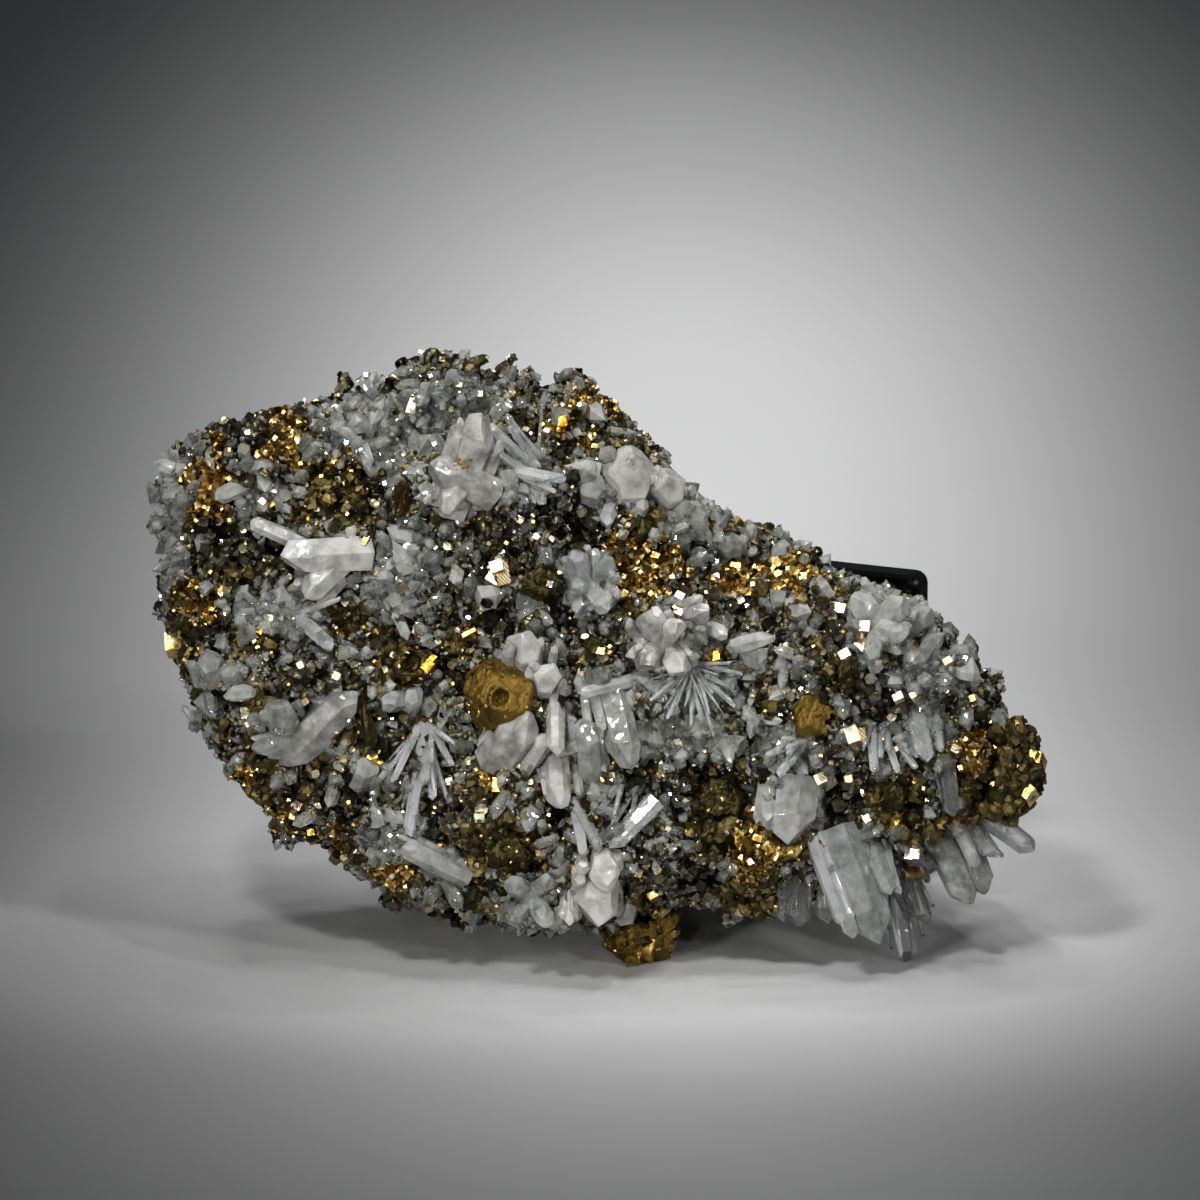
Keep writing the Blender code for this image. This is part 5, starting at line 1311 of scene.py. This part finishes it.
# %% Blocks and chips at the mirror angle
BLOCK_DEPTH = 2.6
BLOCK_RISE = 0.35
BLOCK_TONE = 0.45
MIRROR_JITTER = 0.06
CHIP_LENGTH = 1.0
CHIP_LIFT = 0.3


def seen_depth(x, y):
    """How far towards the viewer the finished surface lies at a place of the page."""
    graph = bpy.context.evaluated_depsgraph_get()
    start = FACE_TO_WORLD @ Vector((x, y, EYE_HEIGHT))
    away = FACE_TURN.to_3x3() @ INTO_PAGE
    reach = 1.5 * EYE_HEIGHT * MM
    met, place, _, _, _, _ = bpy.context.scene.ray_cast(graph, start, away, distance=reach)
    return (WORLD_TO_FACE @ place).z if met else rock_depth(x, y)


def mirror_batches(places):
    """Blocks at these places whose top face reflects the main lamp to the viewer."""
    batches = []
    for x, y, width, height in places:
        top = Vector((x, y, seen_depth(x, y) + BLOCK_RISE))
        axis = half_way(top)
        axis += Vector((dice.gauss(0, MIRROR_JITTER), dice.gauss(0, MIRROR_JITTER), 0))
        axis.normalize()
        root = top - axis * BLOCK_DEPTH / 2
        turn = turned_to(np.array([axis]), rng) * (np.array([width, height, BLOCK_DEPTH]) / 2)
        form = square_forms[dice.randrange(len(square_forms))]
        batches.append((form, turn, np.array([root]), np.array([BLOCK_TONE])))
    return batches


def sow_flashes(name, tries, spacing, minerals, slot, finish, size=(0.2, 0.5)):
    """Chips at about the mirror angle, spread over the druse."""
    points, normals = sow(tries, spacing, minerals, rng)
    points = points + normals * CHIP_LIFT
    front = (points[:, 2] > BACK_STARTS) & fits(points + normals * size[1])
    points = points[front]
    axes = np.array([half_way(place) for place in points])
    axes = unit(axes + rng.normal(0, MIRROR_JITTER, axes.shape))
    widths = rng.uniform(*size, len(points))
    tones = rng.uniform(0.3, 0.7, len(points))
    lengths = np.full(len(points), CHIP_LENGTH)
    batches = sown_batches(chip_forms, points, axes, widths, lengths, tones, rng)
    print(name, "holds", len(points), "chips")
    return place_piece(joined(name, batches), name, slot, [finish])


# %% Place the bright faces
sow_flashes("quartz_flashes", 6000, 1.8, [GREY, PALE, DARK], "quartz", clear_quartz)
sow_flashes("golden_flashes", 3000, 1.7, [GOLD], "chalcopyrite", gold_chalcopyrite)
sow_flashes("olive_flashes", 3000, 2.4, [OLIVE, DARK], "chalcopyrite", gold_chalcopyrite, (0.2, 0.4))
bpy.context.view_layer.update()
for name, (places, slot, finish) in MIRRORS.items():
    place_piece(joined(name, mirror_batches(places)), name, slot, [finish])

# %% [markdown]
# ## The holder
#
# The stone leans on a small bracket of black acrylic, bent from 3 mm sheet. Cast acrylic is a plastic with
# a clear hard gloss, so it is nearly black with sharp reflections, and its sawn edges are flame polished.
# The frame's solid has the right shape already and only needs its finish.

# %% Black acrylic
ACRYLIC = {"Base Color": linear("#060607"), "IOR": 1.49, "Roughness": 0.07}
acrylic, acrylic_tree, acrylic_shader = start_material("black cast acrylic", ACRYLIC)
# Wiping leaves faint smears, so the gloss is a little uneven.
smears = {"To Min": 0.04, "To Max": 0.16}
smeared = add(acrylic_tree, "MapRange", smears, {"Value": speckle(acrylic_tree, 6.0, 6.0)})
acrylic_tree.links.new(smeared.outputs[0], acrylic_shader.inputs["Roughness"])
nodes["acrylic_bracket"].data.materials.clear()
nodes["acrylic_bracket"].data.materials.append(acrylic)
print("the bracket's corners:", len(nodes["acrylic_bracket"].data.vertices))

# %% [markdown]
# ## Studio
#
# The specimen stands on a wide sheet of matt grey paper. The lamps near it have narrow beams, so that they
# light the stone and hardly the paper: a main one above on the left, one on the right, and a low one on
# the left. Six small ones are there only to flash in the crystal faces.

# %% Paper floor
FLOOR_SIZE = 6.0
floor_body = bmesh.new()
bmesh.ops.create_grid(floor_body, x_segments=1, y_segments=1, size=FLOOR_SIZE / 2)
floor_mesh = bpy.data.meshes.new("studio_floor")
floor_body.to_mesh(floor_mesh)
floor_body.free()
floor = bpy.data.objects.new("studio_floor", floor_mesh)
bpy.context.scene.collection.objects.link(floor)
# Uncoated paper scatters light evenly and has hardly a highlight.
paper, _, _ = start_material("matt paper", {"Base Color": linear("#C8C8C8"), "Roughness": 0.8})
floor_mesh.materials.append(paper)
floor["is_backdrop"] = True

# %% Lamps on the stone
FACE_MIDDLE = (0, 37, 0)
GLINTS = [
    (-190, 190, 170), (150, 200, 260), (60, 120, 340), (-60, 60, 380), (20, 300, 140), (250, 20, 240),
]


def snooted(name, place_mm, radius, power, cone, aim=FACE_MIDDLE):
    """A round soft lamp that lights only a disc of the page. Places are on the page, in millimetres."""
    light = bpy.data.lights.new(name, "SPOT")
    light.energy = power
    light.shadow_soft_size = radius
    light.spot_size = math.radians(cone)
    light.spot_blend = 0.7
    lamp = bpy.data.objects.new(name, light)
    bpy.context.scene.collection.objects.link(lamp)
    lamp.location = FACE_TO_WORLD @ Vector(place_mm)
    facing = FACE_TO_WORLD @ Vector(aim) - lamp.location
    lamp.rotation_euler = facing.to_track_quat("-Z", "Y").to_euler()
    lamp.scale = (1.7, 1, 1)
    return lamp


snooted("key_top", KEY_PLACE, 0.026, 2.25, 15, (7, 29, 0))
snooted("side_right", (230, 110, 230), 0.026, 1.2, 16)
snooted("low_fill", (-170, 0, 300), 0.026, 2.3, 15, (-16, 26, 0))
for count, place in enumerate(GLINTS):
    snooted(f"glint_{count}", place, 0.005, 0.25, 17)
print("lamps on the stone:", len(bpy.data.lights))

# %% [markdown]
# ### Light on the floor
#
# The ground is brightest behind the stone and darker towards the corners. Ten places on a ring high above
# make that pool of light. Each holds three lamps, with a narrow, a middle and a wide beam, and all of them
# aim at the same spot of the floor. Thirty weak lamps instead of one give the stone a soft shadow.

# %% Pool of light
POOL_MIDDLE = Vector((0.010, 0.156, 0))
POOL_HEIGHT = 1.2
POOL_LAMPS = 10
POOL_RING = 0.32
POOL_STRETCH = 1.12
POOL_SPOTS = [(40, 17), (66, 30), (98, 22)]
for reach_mm, power in POOL_SPOTS:
    for count in range(POOL_LAMPS):
        light = bpy.data.lights.new(f"floor_pool_{reach_mm}_{count}", "SPOT")
        light.energy = power / POOL_LAMPS
        light.spot_size = 2 * math.atan(reach_mm * MM / POOL_HEIGHT)
        light.spot_blend = 1.0
        light.shadow_soft_size = 0.02
        lamp = bpy.data.objects.new(light.name, light)
        bpy.context.scene.collection.objects.link(lamp)
        azimuth = 2 * math.pi * count / POOL_LAMPS
        ring = Vector((math.cos(azimuth), math.sin(azimuth), 0)) * POOL_RING
        lamp.location = POOL_MIDDLE + ring + Vector((0, 0, POOL_HEIGHT))
        lamp.rotation_euler = (-math.atan(ring.y / POOL_HEIGHT), math.atan(ring.x / POOL_HEIGHT), 0)
        # The camera looks down at only 15 degrees, so a pool that is to look round has to be long.
        lamp.scale = (1, POOL_STRETCH / math.sin(LEAN), 1)
print("lamps in all:", len(bpy.data.lights))

# %% [markdown]
# ### Sky and camera
#
# A dim grey sky fills the shadows. The camera has a long lens, as for small objects, and looks square on
# the face.

# %% Sky and camera
SKY_COLOUR, SKY_STRENGTH = "#8A8D90", 0.17
CAMERA_DISTANCE = 1.2
SENSOR_MM, LENS_MM = 36, 360

world = bpy.data.worlds.new("studio_dark")
bpy.context.scene.world = world
world.use_nodes = True
sky = world.node_tree.nodes["Background"]
sky.inputs["Color"].default_value = linear(SKY_COLOUR)
sky.inputs["Strength"].default_value = SKY_STRENGTH

camera_data = bpy.data.cameras.new("camera")
camera_data.sensor_width = SENSOR_MM
camera_data.lens = LENS_MM
camera_data.clip_start = 0.05
camera_data.clip_end = 20
camera = bpy.data.objects.new("camera", camera_data)
bpy.context.scene.collection.objects.link(camera)
target = FACE_TO_WORLD @ Vector(FACE_MIDDLE)
toward_viewer = FACE_TURN.to_3x3() @ Vector((0, 0, 1))
camera.matrix_world = Matrix.Translation(target + toward_viewer * CAMERA_DISTANCE) @ FACE_TURN
bpy.context.scene.camera = camera
bpy.context.scene.view_settings.view_transform = "Standard"
print("the camera sees", round(SENSOR_MM / LENS_MM * CAMERA_DISTANCE / MM), "mm across")

# %% Sizes and finish
bpy.context.view_layer.update()
shown_box = [list(corner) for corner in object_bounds()]
for label, (low, high) in (("frame box", cad_box), ("shown box", shown_box)):
    print(label, [round((b - a) / MM, 1) for a, b in zip(low, high)], "mm")
